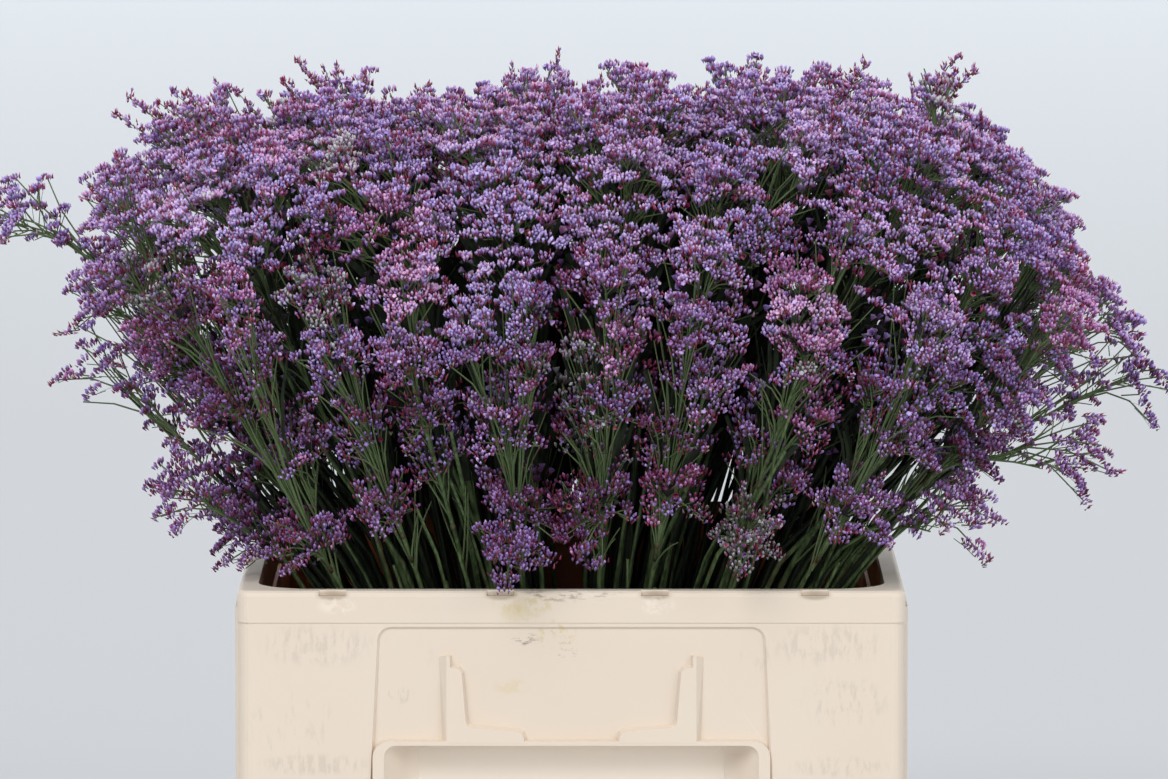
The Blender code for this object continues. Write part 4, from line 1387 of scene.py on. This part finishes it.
# Sprigs: thin twigs that stand out of the crown here and there, with buds up their length. The larger
# spires stand where the top outline rises in the photograph, and in like places at the back: each is
# three fingers, given by how far aside and how much lower than the middle tip they end.
SPIRE_TIPS = (
    (-0.393, -0.02, 0.784), (-0.340, -0.04, 0.790), (-0.242, -0.05, 0.832), (-0.225, -0.01, 0.794),
    (-0.179, -0.06, 0.798), (-0.128, -0.04, 0.820), (-0.072, 0.00, 0.778), (-0.019, -0.05, 0.797),
    (0.048, -0.03, 0.804), (0.075, -0.06, 0.798), (0.155, -0.05, 0.824), (0.168, -0.02, 0.810),
    (0.222, -0.04, 0.800), (0.262, -0.06, 0.812), (0.385, -0.05, 0.850), (-0.280, 0.20, 0.776),
    (0.391, -0.02, 0.766), (-0.340, -0.16, 0.766), (0.340, 0.18, 0.768), (-0.300, 0.20, 0.776),
    (-0.360, 0.10, 0.776), (-0.200, 0.14, 0.800), (-0.040, 0.12, 0.800), (0.110, 0.15, 0.798),
    (0.260, 0.12, 0.800), (0.400, 0.08, 0.750), (-0.120, -0.16, 0.788), (0.060, -0.18, 0.784),
    (0.240, -0.17, 0.788), (-0.280, -0.16, 0.780), (-0.100, 0.20, 0.780), (0.180, 0.21, 0.776),
)
SPIRE_TALL = (0.050, 0.075)
SPIRE_WIDE = 0.0062
SPIRE_STEP = 0.0042
SPIRE_BUDS = 6
SPIRE_ROOT = 0.13
SPIRE_BARE = 0.30
SPIRE_FINGERS = ((0.0, 0.0), (-0.013, -0.012), (0.012, -0.019))
SPIRE_SHIFT = (0.006, 0.015)
SPIRE_PARTED = (0.010, 0.004)
SPIRE_LEAN = (0.5, 12)
SPIRE_TURN = 0.12
SPIRE_TAPER = (1.15, 0.75)
SPIRE_REACH = (0.7, 1.2)
SPIRE_BRANCH = (0.75, 0.85)
SPIRE_BUD_WAY = (0.9, 0.5, 120)
SPIRE_RADII = (0.0010, 0.0005)
SPIRE_TWIG = 0.0014
SPIRE_STREWN = (0.0017, 0.0018)
TOP_FLARE = 150
BUD_TURN = 2.4
BUD_SWING = 0.4
SPRIG_COUNT = 4
SPRIG_REACH = (0.004, 0.016)
SPRIG_WAY = (0.6, 0.5, 0.35)
SPRIG_DEPTH = 0.97
SPRIG_MISSING = 0.55
SPRIG_SUNK = 0.008
SPRIG_STEP = 0.0016
SPRIG_WIDE = 0.0030
SPRIG_RADII = (0.0007, 0.0004)
SPRIG_BEND = 0.005
SPRIG_TAPER = 0.5
SPRIG_BUD_WAY = (0.9, 0.7)
SPRIG_BUD_CLOSE = 0.6


def add_spire(tip, lean, strands, buds, rng):
    """One finger of a spire that ends at this tip: a thin stem with short twigs and buds up it."""
    tall = rng.uniform(*SPIRE_TALL)
    foot = (tip - lean * tall).lerp(Vector(CROWN_HEART), SPIRE_ROOT)
    stem = bent(foot, lean, tip, 4, 0.5)
    strands.add(stem, np.linspace(*SPIRE_RADII, len(stem)), THREE, 1)
    u, v = square_pair(lean)
    turns = int(tall / SPIRE_STEP)
    for turn in range(turns):
        share = (turn + 0.5) / turns
        level = turned(u, v, turn * BUD_TURN + rng.uniform(-BUD_SWING, BUD_SWING))
        root = point_on(stem, (len(stem) - 1) * (SPIRE_BARE + (1 - SPIRE_BARE) * share))
        reach = SPIRE_WIDE * (SPIRE_TAPER[0] - SPIRE_TAPER[1] * share) * rng.uniform(*SPIRE_REACH)
        twig_tip = root + weighted((level, lean), SPIRE_BRANCH) * reach
        strands.ribbon([root, twig_tip], SPIRE_TWIG, 0.0, 1)
        for _ in range(SPIRE_BUDS):
            shift = strewn(rng, SPIRE_STREWN[0])
            bud_way = weighted((lean, level, shift), SPIRE_BUD_WAY).normalized()
            buds.append((*sloped(twig_tip + shift), *bud_way))
    for _ in range(SPIRE_BUDS):
        shift = strewn(rng, SPIRE_STREWN[1])
        buds.append((*sloped(tip + shift), *(lean + shift * TOP_FLARE).normalized()))


def add_sprig(tip, outward, strands, buds, rng):
    """A short twig out of a spikelet's tip, with buds all the way up."""
    reach = rng.uniform(*SPRIG_REACH)
    start = tip - outward * SPRIG_SUNK
    stop = tip + outward * reach + jitter(rng, SPRIG_BEND)
    twig = bent(start, outward, stop, 3, 0.5)
    strands.add(twig, np.linspace(*SPRIG_RADII, len(twig)), THREE, 1)
    steps = max(4, int((reach + SPRIG_SUNK) / SPRIG_STEP))
    u, v = square_pair(outward)
    for step in range(steps):
        share = (step + 0.6) / steps
        level = turned(u, v, step * BUD_TURN + rng.uniform(-BUD_SWING, BUD_SWING))
        home = start.lerp(stop, share) + level * (SPRIG_WIDE * (1 - SPRIG_TAPER * share))
        aside = level * SPRIG_BUD_WAY[1] * (1 - SPRIG_BUD_CLOSE * share)
        buds.append((*sloped(home), *(outward * SPRIG_BUD_WAY[0] + aside).normalized()))
    buds.append((*sloped(stop), *outward))


bud_sets = [[] for _ in lines]
rng = random.Random(SEED * 79)
for spire in SPIRE_TIPS:
    middle = Vector(spire) + Vector([rng.uniform(-most, most) for most in SPIRE_SHIFT] + [0])
    number = cells.nearest(middle)
    hand = rng.choice((-1, 1))
    for aside, lower in SPIRE_FINGERS:
        parted, shorter = (rng.uniform(-most, most) for most in SPIRE_PARTED)
        tip = middle + Vector((hand * aside, parted, lower + shorter))
        lean = Vector((tip.x * SPIRE_LEAN[0] + hand * aside * SPIRE_LEAN[1], tip.y * SPIRE_LEAN[0], 1))
        lean = (lean + jitter(rng, SPIRE_TURN)).normalized()
        add_spire(tip, lean, all_strands[number], bud_sets[number], rng)
for number, (_, heads) in enumerate(plans):
    rng = random.Random(SEED * 6000 + number)
    for order, head in enumerate(heads):
        for tip in rng.sample(head.tips, min(len(head.tips), SPRIG_COUNT)):
            outward = weighted((crown_normal(tip), head.way, UP), SPRIG_WAY).normalized()
            if crown_depth(tip) < SPRIG_DEPTH or rng.random() < SPRIG_MISSING:
                continue
            tip = tip + head_sinks[number * 100 + order]
            add_sprig(tip, outward, all_strands[number], bud_sets[number], rng)

# Blooms: papery lilac florets, a few open ones, and burgundy, rose and pale buds. Each is a small shell
# whose tone runs from its foot to its tip, and every head and tuft has its own mood of colour. All that
# grows on one stem is set in place here as two pieces, its stems and its blooms.
# Sizes of a floret, an open floret, a bud and a cup.
BLOOM_SIZES = (0.0028, 0.0028, 0.0028, 0.0034)
BLOOM_SPREAD = (0.80, 1.18)
FLORETS = (13, 15)
HIDDEN_FLORETS = 7
HIDDEN_DEPTH = 0.85
INNER_FLORETS = (6, 8)
LOW_TUFTS = 0.56
LOW_FEWER = 3
HIGH_TUFTS = 0.64
HOLLOW_FEWER = 5
LIT_MORE = 3
TUFT_RADII = (0.0060, 0.0088)
TUFT_SPAN = math.radians(66)
TUFT_SUNK = 0.62
TUFT_FLAT = 0.45
TUFT_REACH = (0.84, 1.16)
# How much wider the fan, larger the tuft and larger its florets are deep inside.
INNER_WIDER = (1.8, 1.5, 1.35)
# How far a floret turns outward, along with its tuft and upward, and how far at random.
BLOOM_WAY = (0.42, 0.50, (0, 0, 0.22), 0.15)
TONE_OWN = 0.74
TONE_SPREAD = (1.6, 1.9)
TONE_GRAIN = (520.0, 2.0)
TONE_SHIFT = (0.3, 0.7, -0.08, 0.08)
TONE_STOPS = (0.05, 0.50, 1.0)
# Painted shade and light on the blooms' tones: darker low down, lighter on the highest heads. Each head's
# tone also differs at random.
LOW_PAINTED_SHADE = 0.30
PAINTED_SHADE_RISE = (0.44, 0.25)
HIGH_PAINTED_LIGHT = 0.05
HIGH_LIT = 0.66
HEAD_DULL = 0.09
HOLLOW_PAINTED_SHADE = 0.34
LIT_PAINTED_LIGHT = 0.30
# Where the front opens into shade between the heads, and where a head stands out into the light: x, z,
# half width and half height. Blooms in the first are painted darker as shade, in the second painted lighter
# as light.
HOLLOWS = (
    (0.003, 0.493, 0.055, 0.080), (-0.010, 0.610, 0.034, 0.042), (-0.275, 0.530, 0.055, 0.055),
    (-0.150, 0.520, 0.045, 0.045), (-0.140, 0.450, 0.045, 0.035), (-0.345, 0.600, 0.060, 0.065),
    (-0.210, 0.665, 0.045, 0.032), (0.073, 0.572, 0.034, 0.030), (0.139, 0.470, 0.045, 0.055),
    (0.075, 0.505, 0.035, 0.040), (0.205, 0.668, 0.050, 0.040), (0.275, 0.722, 0.040, 0.028),
    (0.250, 0.540, 0.030, 0.035),
)
LIT = ((-0.105, 0.630, 0.060, 0.040), (0.210, 0.618, 0.050, 0.032), (-0.330, 0.700, 0.060, 0.035))
FRONT_SPOTS = -0.08
SPOT_EDGE = 1.3
# Numbers of the bloom materials below. The first four are the petals.
PETALS = 4
BURGUNDY, GREEN_CALYX, ROSE, PALE, SHADE = 4, 5, 6, 7, 8
HEAD_MOODS = (0.54, 0.35, 0.09, 0.02)
TUFT_MOODS = (0.54, 0.35, 0.10, 0.01)
HEAD_RULES = 0.74
TUFT_RULES = 0.78
# Where greyish and pinkish heads show on the front: x, z, petal number and radius.
TINTED = (
    (0.000, 0.562, 3, 0.030), (0.025, 0.493, 3, 0.030), (0.200, 0.554, 3, 0.022), (-0.359, 0.640, 3, 0.026),
    (0.150, 0.412, 3, 0.045), (0.345, 0.790, 3, 0.030), (0.205, 0.618, 2, 0.050), (0.200, 0.530, 2, 0.034),
    (-0.158, 0.685, 2, 0.035), (-0.250, 0.760, 2, 0.030), (0.440, 0.600, 2, 0.040),
)
TINT_FRONT = -0.10
TINT_TOP = 0.77
TINT_SPREAD = (0.7, 1.2)
# The share of buds among the florets: at least, more towards the top, more at a tuft's rim, and how far
# it differs from tuft to tuft.
BUD_SHARES = (0.12, 0.08, 0.34, 0.14)
BUD_RISE = (0.45, 0.35)
TUFT_RIM = 0.62
OPEN_SHARE = 0.03
BUD_COLOURS = (0.60, 0.86)
CUP_SHARE = 0.85
CUP_COLOURS = (0.12, 0.56)
SPRIG_BUDS = 0.60
SPRIG_BUD_COLOURS = (0.34, 0.52)
SPRIG_PETALS = (0.6, 0.8)
SPRIG_SIZES = (0.0030, 0.0027)
SPRIG_SPREAD = (0.75, 1.15)
INNER_CUPS = 20
INNER_RADIUS = 0.0210
CORE_RADIUS = 0.0095
CORE_ROUGH = (0.66, 1.20)
CUP_SPREAD = (0.84, 1.24)
CUP_SPAN = 1.7
CUP_TURN = 0.3
CUP_SIZES = (0.8, 1.2)
CORE_TONE = 0.8
HEART_SLOTS = ((0, 1, BURGUNDY, GREEN_CALYX, SHADE), (0.22, 0.10, 0.12, 0.18, 0.38))
HEART_FULL = 0.9
GOLDEN = math.pi * (3 - math.sqrt(5))


def ring_points(radius, height, count):
    """Points on a level ring round the Z axis."""
    angles = [math.tau * k / count for k in range(count)]
    return [(radius * math.cos(angle), radius * math.sin(angle), height) for angle in angles]


def fan(count):
    """Triangles from point 0 to a ring of points after it."""
    return [(0, 1 + k, 1 + (k + 1) % count) for k in range(count)]


def floret():
    """A papery floret that points to +Z: a narrow burgundy foot that widens to a lilac, pale-tipped cap."""
    points = [(0, 0, 0.66)] + ring_points(0.56, 0.0, 3) + [(0, 0, -1.7)]
    corners = fan(3) + [(4, 1 + (k + 1) % 3, 1 + k) for k in range(3)]
    return points, corners, [1.0] + [0.68] * 3 + [0.0]


def star_floret():
    """An open five-cornered floret that faces +Z, with a pale middle, on its burgundy foot."""
    points = [(0, 0, 0.05)] + ring_points(0.86, 0.20, 5) + [(0, 0, -1.4)] + ring_points(0.42, -0.10, 3)
    corners = fan(5) + [(6, 7 + (k + 1) % 3, 7 + k) for k in range(3)]
    return points, corners, [1.0] + [0.66] * 5 + [0.0] + [0.40] * 3


def bud():
    """A closed bud that points to +Z: burgundy at its foot, paler at its tip."""
    points = [(0, 0, 0.90)] + ring_points(0.40, -0.75, 3)
    return points, fan(3), [1.0] + [0.0] * 3


def cup():
    """A half-open papery calyx that points to +Z."""
    points = [(0, 0, -1.1)] + ring_points(0.74, 0.35, 5)
    return points, [(a, c, b) for a, b, c in fan(5)], [0.0] + [0.8] * 5


def square_pairs(ways):
    """Two arrays of directions square to these directions and to each other."""
    reference = np.where(np.abs(ways[:, :1]) < 0.85, [[1.0, 0, 0]], [[0, 1.0, 0]])
    u = unit(reference - ways * (reference * ways).sum(axis=1, keepdims=True))
    return u, np.cross(ways, u)


SHAPES = (floret(), star_floret(), bud(), cup())


def placed_blooms(shape, centres, ways, sizes, slots, draw, painted_light_and_tone=0.0):
    """Copies of a bloom shape as arrays of points, corners, material numbers and tones."""
    points, corners, shades = (np.array(part) for part in shape)
    u, v = square_pairs(ways)
    spins = draw.uniform(0, math.tau, len(centres))
    c, s = np.cos(spins)[:, None], np.sin(spins)[:, None]
    frames = np.stack([u * c + v * s, v * c - u * s, ways], axis=1) * sizes[:, None, None]
    world = np.einsum("pk,nkj->npj", points, frames) + centres[:, None, :]
    offsets = np.arange(len(centres)) * len(points)
    all_corners = corners[None, :, :] + offsets[:, None, None]
    numbers = np.repeat(slots[:, None], len(corners), axis=1)
    own = draw.beta(*TONE_SPREAD, len(centres))
    tones = np.clip(((own - 0.5) * TONE_OWN - painted_light_and_tone)[:, None] + shades[None, :], 0, 1)
    return world.reshape(-1, 3), all_corners.reshape(-1, 3), numbers.reshape(-1), tones.reshape(-1)


def share_in(points, spots):
    """How far points on the front lie in any of these oval places: 1 in the middle of one, 0 outside."""
    found = np.zeros(len(points))
    for x, z, half_wide, half_tall in spots:
        away = np.hypot((points[:, 0] - x) / half_wide, (points[:, 2] - z) / half_tall)
        found = np.maximum(found, np.clip(SPOT_EDGE - away, 0, 1))
    return found * (points[:, 1] < FRONT_SPOTS)


def floret_counts(homes, inner, draw):
    """How many florets each tuft has: fewer low down, deep inside and in the hollows, more in the light."""
    count, heights = len(homes), homes[:, 2]
    outer_count = draw.integers(FLORETS[0], FLORETS[1] + 1, count)
    outer_count = outer_count - LOW_FEWER * (heights < LOW_TUFTS) + (heights > HIGH_TUFTS)
    outer_count = outer_count - (HOLLOW_FEWER * share_in(homes, HOLLOWS)).astype(int)
    outer_count = outer_count + (LIT_MORE * share_in(homes, LIT)).astype(int)
    inner_count = draw.integers(INNER_FLORETS[0], INNER_FLORETS[1] + 1, count)
    outer_count = np.where(depth_of(homes) < HIDDEN_DEPTH, HIDDEN_FLORETS, outer_count)
    return np.where(inner, inner_count, outer_count)


def dress_tufts(tufts, draw):
    """The blooms of all tufts of one spray, as lists of arrays."""
    count = len(tufts)
    homes, faces, inner = tufts[:, 0:3], tufts[:, 3:6], tufts[:, 7] > 0
    blooms = floret_counts(homes, inner, draw)
    owner = np.repeat(np.arange(count), blooms)
    order = np.concatenate([np.arange(n) for n in blooms])
    share = (order + 0.5) / blooms[owner]
    angle = (TUFT_SPAN * np.sqrt(share) * np.where(inner, INNER_WIDER[0], 1.0)[owner])[:, None]
    around = (order * GOLDEN + draw.uniform(0, math.tau, count)[owner])[:, None]
    face = faces[owner]
    u, v = square_pairs(face)
    out = face * np.cos(angle) + (u * np.cos(around) + v * np.sin(around)) * np.sin(angle)
    size = draw.uniform(*TUFT_RADII, count) * np.where(inner, INNER_WIDER[1], 1.0)
    reach = size[owner] * draw.uniform(*TUFT_REACH, len(owner))
    foot = homes - faces * (size * TUFT_SUNK)[:, None]
    rise = (out * face).sum(axis=1, keepdims=True)
    out = out + face * (1 - rise) * TUFT_FLAT
    centres = foot[owner] + out * reach[:, None]
    out_share, face_share, up_share, turn = BLOOM_WAY
    ways = out * out_share + face * face_share + up_share + draw.normal(0, turn, (len(owner), 3))
    ways = unit(ways)
    mood = tuft_moods(tufts, draw)
    head = np.unique(tufts[:, 6], return_inverse=True)[1]
    head_dull = draw.uniform(-HEAD_DULL, HEAD_DULL, head.max() + 1)[head]
    follows = draw.random(len(owner)) < TUFT_RULES
    petal = np.where(follows, mood[owner], draw.integers(0, PETALS - 1, len(owner)))
    height = np.clip((homes[:, 2] - BUD_RISE[0]) / BUD_RISE[1], 0, 1)[owner]
    least, higher, at_rim, differs = BUD_SHARES
    in_bud = least + higher * height + at_rim * (share > TUFT_RIM)
    in_bud = in_bud + draw.normal(0, differs, count)[owner]
    chance = draw.random(len(owner))
    pick = draw.random(len(owner))
    bud_slot = np.where(pick < BUD_COLOURS[0], BURGUNDY, np.where(pick < BUD_COLOURS[1], ROSE, PALE))
    kind = np.where(chance < in_bud, 2, np.where(draw.random(len(owner)) < OPEN_SHARE, 1, 0))
    kind = np.where(inner[owner], np.where(chance < CUP_SHARE, 3, 2), kind)
    cup_slot = np.where(pick < CUP_COLOURS[0], BURGUNDY, np.where(pick < CUP_COLOURS[1], SHADE, petal))
    found = []
    for number, (shape, radius) in enumerate(zip(SHAPES, BLOOM_SIZES)):
        mine = kind == number
        slots = {2: bud_slot, 3: cup_slot}.get(number, petal)[mine]
        larger = np.where(inner[owner][mine], INNER_WIDER[2], 1.0)
        sizes = radius * draw.uniform(*BLOOM_SPREAD, mine.sum()) * larger
        spots, heights = centres[mine], centres[mine, 2]
        # The tone is painted darker as shade low down and in the hollows, and lighter as light high up and
        # on lit heads. It also differs at random from head to head.
        painted_light_and_tone = LOW_PAINTED_SHADE * (1 - np.clip((heights - PAINTED_SHADE_RISE[0]) / PAINTED_SHADE_RISE[1], 0, 1))
        painted_light_and_tone = painted_light_and_tone - HIGH_PAINTED_LIGHT * (heights > HIGH_LIT)
        painted_light_and_tone = painted_light_and_tone + head_dull[owner][mine] + HOLLOW_PAINTED_SHADE * share_in(spots, HOLLOWS)
        painted_light_and_tone = painted_light_and_tone - LIT_PAINTED_LIGHT * share_in(spots, LIT)
        found.append(placed_blooms(shape, spots, ways[mine], sizes, slots, draw, painted_light_and_tone))
    return found


def tuft_moods(tufts, draw):
    """The petal shade of each tuft: mostly lilac, with bluer, pinker and greyish heads here and there."""
    head = np.unique(tufts[:, 6], return_inverse=True)[1]
    main = draw.choice(PETALS, head.max() + 1, p=HEAD_MOODS)
    own = draw.choice(PETALS, len(tufts), p=TUFT_MOODS)
    mood = np.where(draw.random(len(tufts)) < HEAD_RULES, main[head], own)
    shown = tufts[:, 1] < np.where(tufts[:, 2] > TINT_TOP, 0.0, TINT_FRONT)
    for x, z, tint, radius in TINTED:
        away = np.hypot(tufts[:, 0] - x, tufts[:, 2] - z)
        limit = radius * draw.uniform(*TINT_SPREAD, len(tufts))
        mood = np.where((away < limit) & shown, tint, mood)
    return mood


def bloom_material(name, foot, middle, tip, roughness=0.62):
    """A papery plant colour that runs from foot to tip by the tone kept on the mesh, with a fine grain."""
    made, shader, tree = new_material(name, roughness, 0.25)
    tone = add_node(tree, "Attribute", {}, attribute_name="tone").outputs["Fac"]
    grain = ranged(tree, noise_of(tree, object_place(tree), *TONE_GRAIN), *TONE_SHIFT)
    total = value_of(tree, "ADD", tone, grain)
    low, half_way, high = TONE_STOPS
    lower = mixed(tree, ranged(tree, total, low, half_way), foot, middle)
    coloured(tree, shader, mixed(tree, ranged(tree, total, half_way, high), lower, tip), middle)
    return made


FOOT_RED = (0.090, 0.010, 0.034)
bloom_materials = (
    bloom_material("petal_lilac", FOOT_RED, (0.330, 0.185, 0.480), (0.780, 0.600, 0.930)),
    bloom_material("petal_blue_lilac", (0.090, 0.012, 0.040), (0.275, 0.180, 0.490), (0.680, 0.560, 0.940)),
    bloom_material("petal_pink_lilac", (0.140, 0.010, 0.036), (0.440, 0.170, 0.420), (0.860, 0.560, 0.840)),
    bloom_material("petal_greyed", (0.050, 0.050, 0.040), (0.330, 0.300, 0.340), (0.700, 0.670, 0.720)),
    bloom_material("bud_burgundy", (0.080, 0.006, 0.020), (0.300, 0.030, 0.085), (0.560, 0.230, 0.330)),
    bloom_material("calyx_green", (0.020, 0.034, 0.014), (0.060, 0.080, 0.035), (0.150, 0.150, 0.070)),
    bloom_material("bud_rose", (0.150, 0.010, 0.036), (0.400, 0.075, 0.165), (0.780, 0.480, 0.600)),
    bloom_material("bud_pale", (0.160, 0.030, 0.070), (0.520, 0.300, 0.420), (0.860, 0.780, 0.840)),
    bloom_material("heart_shade", (0.010, 0.010, 0.008), (0.026, 0.020, 0.026), (0.050, 0.030, 0.054), 0.8),
)


def head_heart(centre, way, radius, draw):
    """The shaded inside of a head: a small rough core of packed twigs, with cupped florets round it."""
    bm = bmesh.new()
    bmesh.ops.create_icosphere(bm, subdivisions=1, radius=radius * CORE_RADIUS / INNER_RADIUS)
    points = np.array([tuple(vert.co) for vert in bm.verts])
    points = points * draw.uniform(*CORE_ROUGH, (len(points), 1)) + np.array(centre)
    corners = np.array([[vert.index for vert in face.verts] for face in bm.faces])
    bm.free()
    core = (points, corners, np.full(len(corners), SHADE), draw.uniform(0, CORE_TONE, len(points)))
    count = INNER_CUPS
    lift = 1 - (np.arange(count) + 0.5) / count * CUP_SPAN
    around = np.arange(count) * GOLDEN + draw.uniform(0, math.tau)
    level = np.sqrt(1 - lift**2)
    u, v = square_pair(way)
    out = np.outer(lift, way) + np.outer(level * np.cos(around), u) + np.outer(level * np.sin(around), v)
    centres = np.array(centre) + out * radius * draw.uniform(*CUP_SPREAD, (count, 1))
    ways = unit(out + draw.normal(0, CUP_TURN, (count, 3)))
    slots = draw.choice(HEART_SLOTS[0], count, p=HEART_SLOTS[1])
    sizes = BLOOM_SIZES[3] * draw.uniform(*CUP_SIZES, count)
    return core, placed_blooms(SHAPES[3], centres, ways, sizes, slots, draw)


def sprig_blooms(buds, draw):
    """The buds of the sprigs of one spray, with small florets among them."""
    chance = draw.random(len(buds))
    pick = draw.random(len(buds))
    petal = np.where(pick < SPRIG_PETALS[0], 0, np.where(pick < SPRIG_PETALS[1], 1, 2))
    in_bud = chance < SPRIG_BUDS
    burgundy, rose = (chance < limit for limit in SPRIG_BUD_COLOURS)
    slots = np.where(burgundy, BURGUNDY, np.where(rose, ROSE, np.where(in_bud, PALE, petal)))
    found = []
    for shape, radius, mine in zip((SHAPES[2], SHAPES[0]), SPRIG_SIZES, (in_bud, ~in_bud)):
        sizes = radius * draw.uniform(*SPRIG_SPREAD, mine.sum())
        found.append(placed_blooms(shape, buds[mine, :3], buds[mine, 3:], sizes, slots[mine], draw))
    return found


for number, (strands, tufts, buds) in enumerate(zip(all_strands, tuft_sets, bud_sets)):
    name = f"spray_{number + 1:02d}"
    grown = (strands.points, strands.corners, strands.slots)
    stems = triangle_piece(f"{name}_stems", *grown, True, stem_materials)
    draw = np.random.default_rng(SEED * 9000 + number)
    parts = dress_tufts(np.array(tufts), draw)
    if buds:
        parts += sprig_blooms(np.array(buds), draw)
    for order, head in enumerate(plans[number][1]):
        mean_reach = sum((tip - head.centre).length for tip in head.tips) / len(head.tips)
        place = heart_places.get(number * 100 + order)
        if place is not None:
            radius = INNER_RADIUS * min(1.0, mean_reach / (HEART_FULL * HEAD_REACH))
            parts += head_heart(place, head.way, radius, draw)
    points, corners, slots, tones = zip(*parts)
    offsets = np.cumsum([0] + [len(part) for part in points[:-1]])
    corners = [part + offset for part, offset in zip(corners, offsets)]
    joined = (np.concatenate(points), np.concatenate(corners), np.concatenate(slots))
    blooms = triangle_piece(f"{name}_blooms", *joined, False, bloom_materials)
    tone = blooms.data.attributes.new("tone", "FLOAT", "POINT")
    tone.data.foreach_set("value", np.concatenate(tones).astype(np.float32))
    for piece, finish in ((stems, "stems"), (blooms, "flowers")):
        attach(piece, "root")
        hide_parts(name)

# Floor: a wide pale studio floor of matt paper. It runs back out of sight and turns lighter far off, so
# that no edge shows behind the part.
FLOOR_HALF = 150.0
FLOOR_NEAR = (0.670, 0.686, 0.712)
FLOOR_FAR = (0.822, 0.864, 0.902)
FLOOR_TURNS = (5.0, 16.0)

floor_mesh = bmesh.new()
bmesh.ops.create_grid(floor_mesh, x_segments=1, y_segments=1, size=FLOOR_HALF)
floor = as_object("studio_floor", floor_mesh)
paper, shader, tree = new_material("studio_paper", 0.9, 0.0)
far_share = ranged(tree, length_of(tree, object_place(tree)), *FLOOR_TURNS)
tree.links.new(mixed(tree, far_share, FLOOR_NEAR, FLOOR_FAR), shader.inputs["Base Color"])
floor.data.materials.append(paper)

# Light: soft, even studio light under a pale sky, which is darker overhead. Two wide lamps stand in
# front and two weaker ones behind: name, where from, strength and width in degrees.
SKY_HIGH = (0.370, 0.385, 0.400)
SKY_LOW = (0.782, 0.835, 0.900)
SKY_TURNS = (0.06, 0.34)
LAMPS = (
    ("key_light", (-0.35, -0.80, 0.80), 1.60, 34),
    ("fill_light", (0.60, -0.80, 0.40), 0.85, 45),
    ("back_light", (-0.50, 0.80, 0.45), 0.55, 40),
    ("back_fill_light", (0.60, 0.75, 0.40), 0.45, 40),
)

world = bpy.data.worlds.new("studio")
bpy.context.scene.world = world
world.use_nodes = True
tree = world.node_tree
seen_way = add_node(tree, "TexCoord", {}).outputs["Generated"]
height = ranged(tree, add_node(tree, "SeparateXYZ", {0: seen_way}).outputs["Z"], *SKY_TURNS)
sky = mixed(tree, height, SKY_LOW, SKY_HIGH)
tree.links.new(sky, tree.nodes["Background"].inputs["Color"])
for name, where, power, width in LAMPS:
    lamp = bpy.data.lights.new(name, "SUN")
    lamp.energy = power
    lamp.angle = math.radians(width)
    item = bpy.data.objects.new(name, lamp)
    item.rotation_euler = (-Vector(where)).to_track_quat("-Z", "Y").to_euler()
    bpy.context.scene.collection.objects.link(item)

# Camera: it looks at the flowers from a little above, from far off and with a long lens, as in the
# photograph.
CAMERA_AIM = (0.011, -0.195, 0.537)
CAMERA_RISE = math.radians(5.5)
CAMERA_AWAY = 9.0
CAMERA_LENS = 318.0

lens = bpy.data.cameras.new("camera")
lens.lens = CAMERA_LENS
lens.sensor_width = 36
lens.clip_end = 200
camera = bpy.data.objects.new("camera", lens)
back_way = Vector((0, -math.cos(CAMERA_RISE), math.sin(CAMERA_RISE)))
camera.location = Vector(CAMERA_AIM) + back_way * CAMERA_AWAY
camera.rotation_euler = (-back_way).to_track_quat("-Z", "Y").to_euler()
bpy.context.scene.collection.objects.link(camera)
bpy.context.scene.camera = camera
bpy.context.scene.view_settings.view_transform = "Standard"
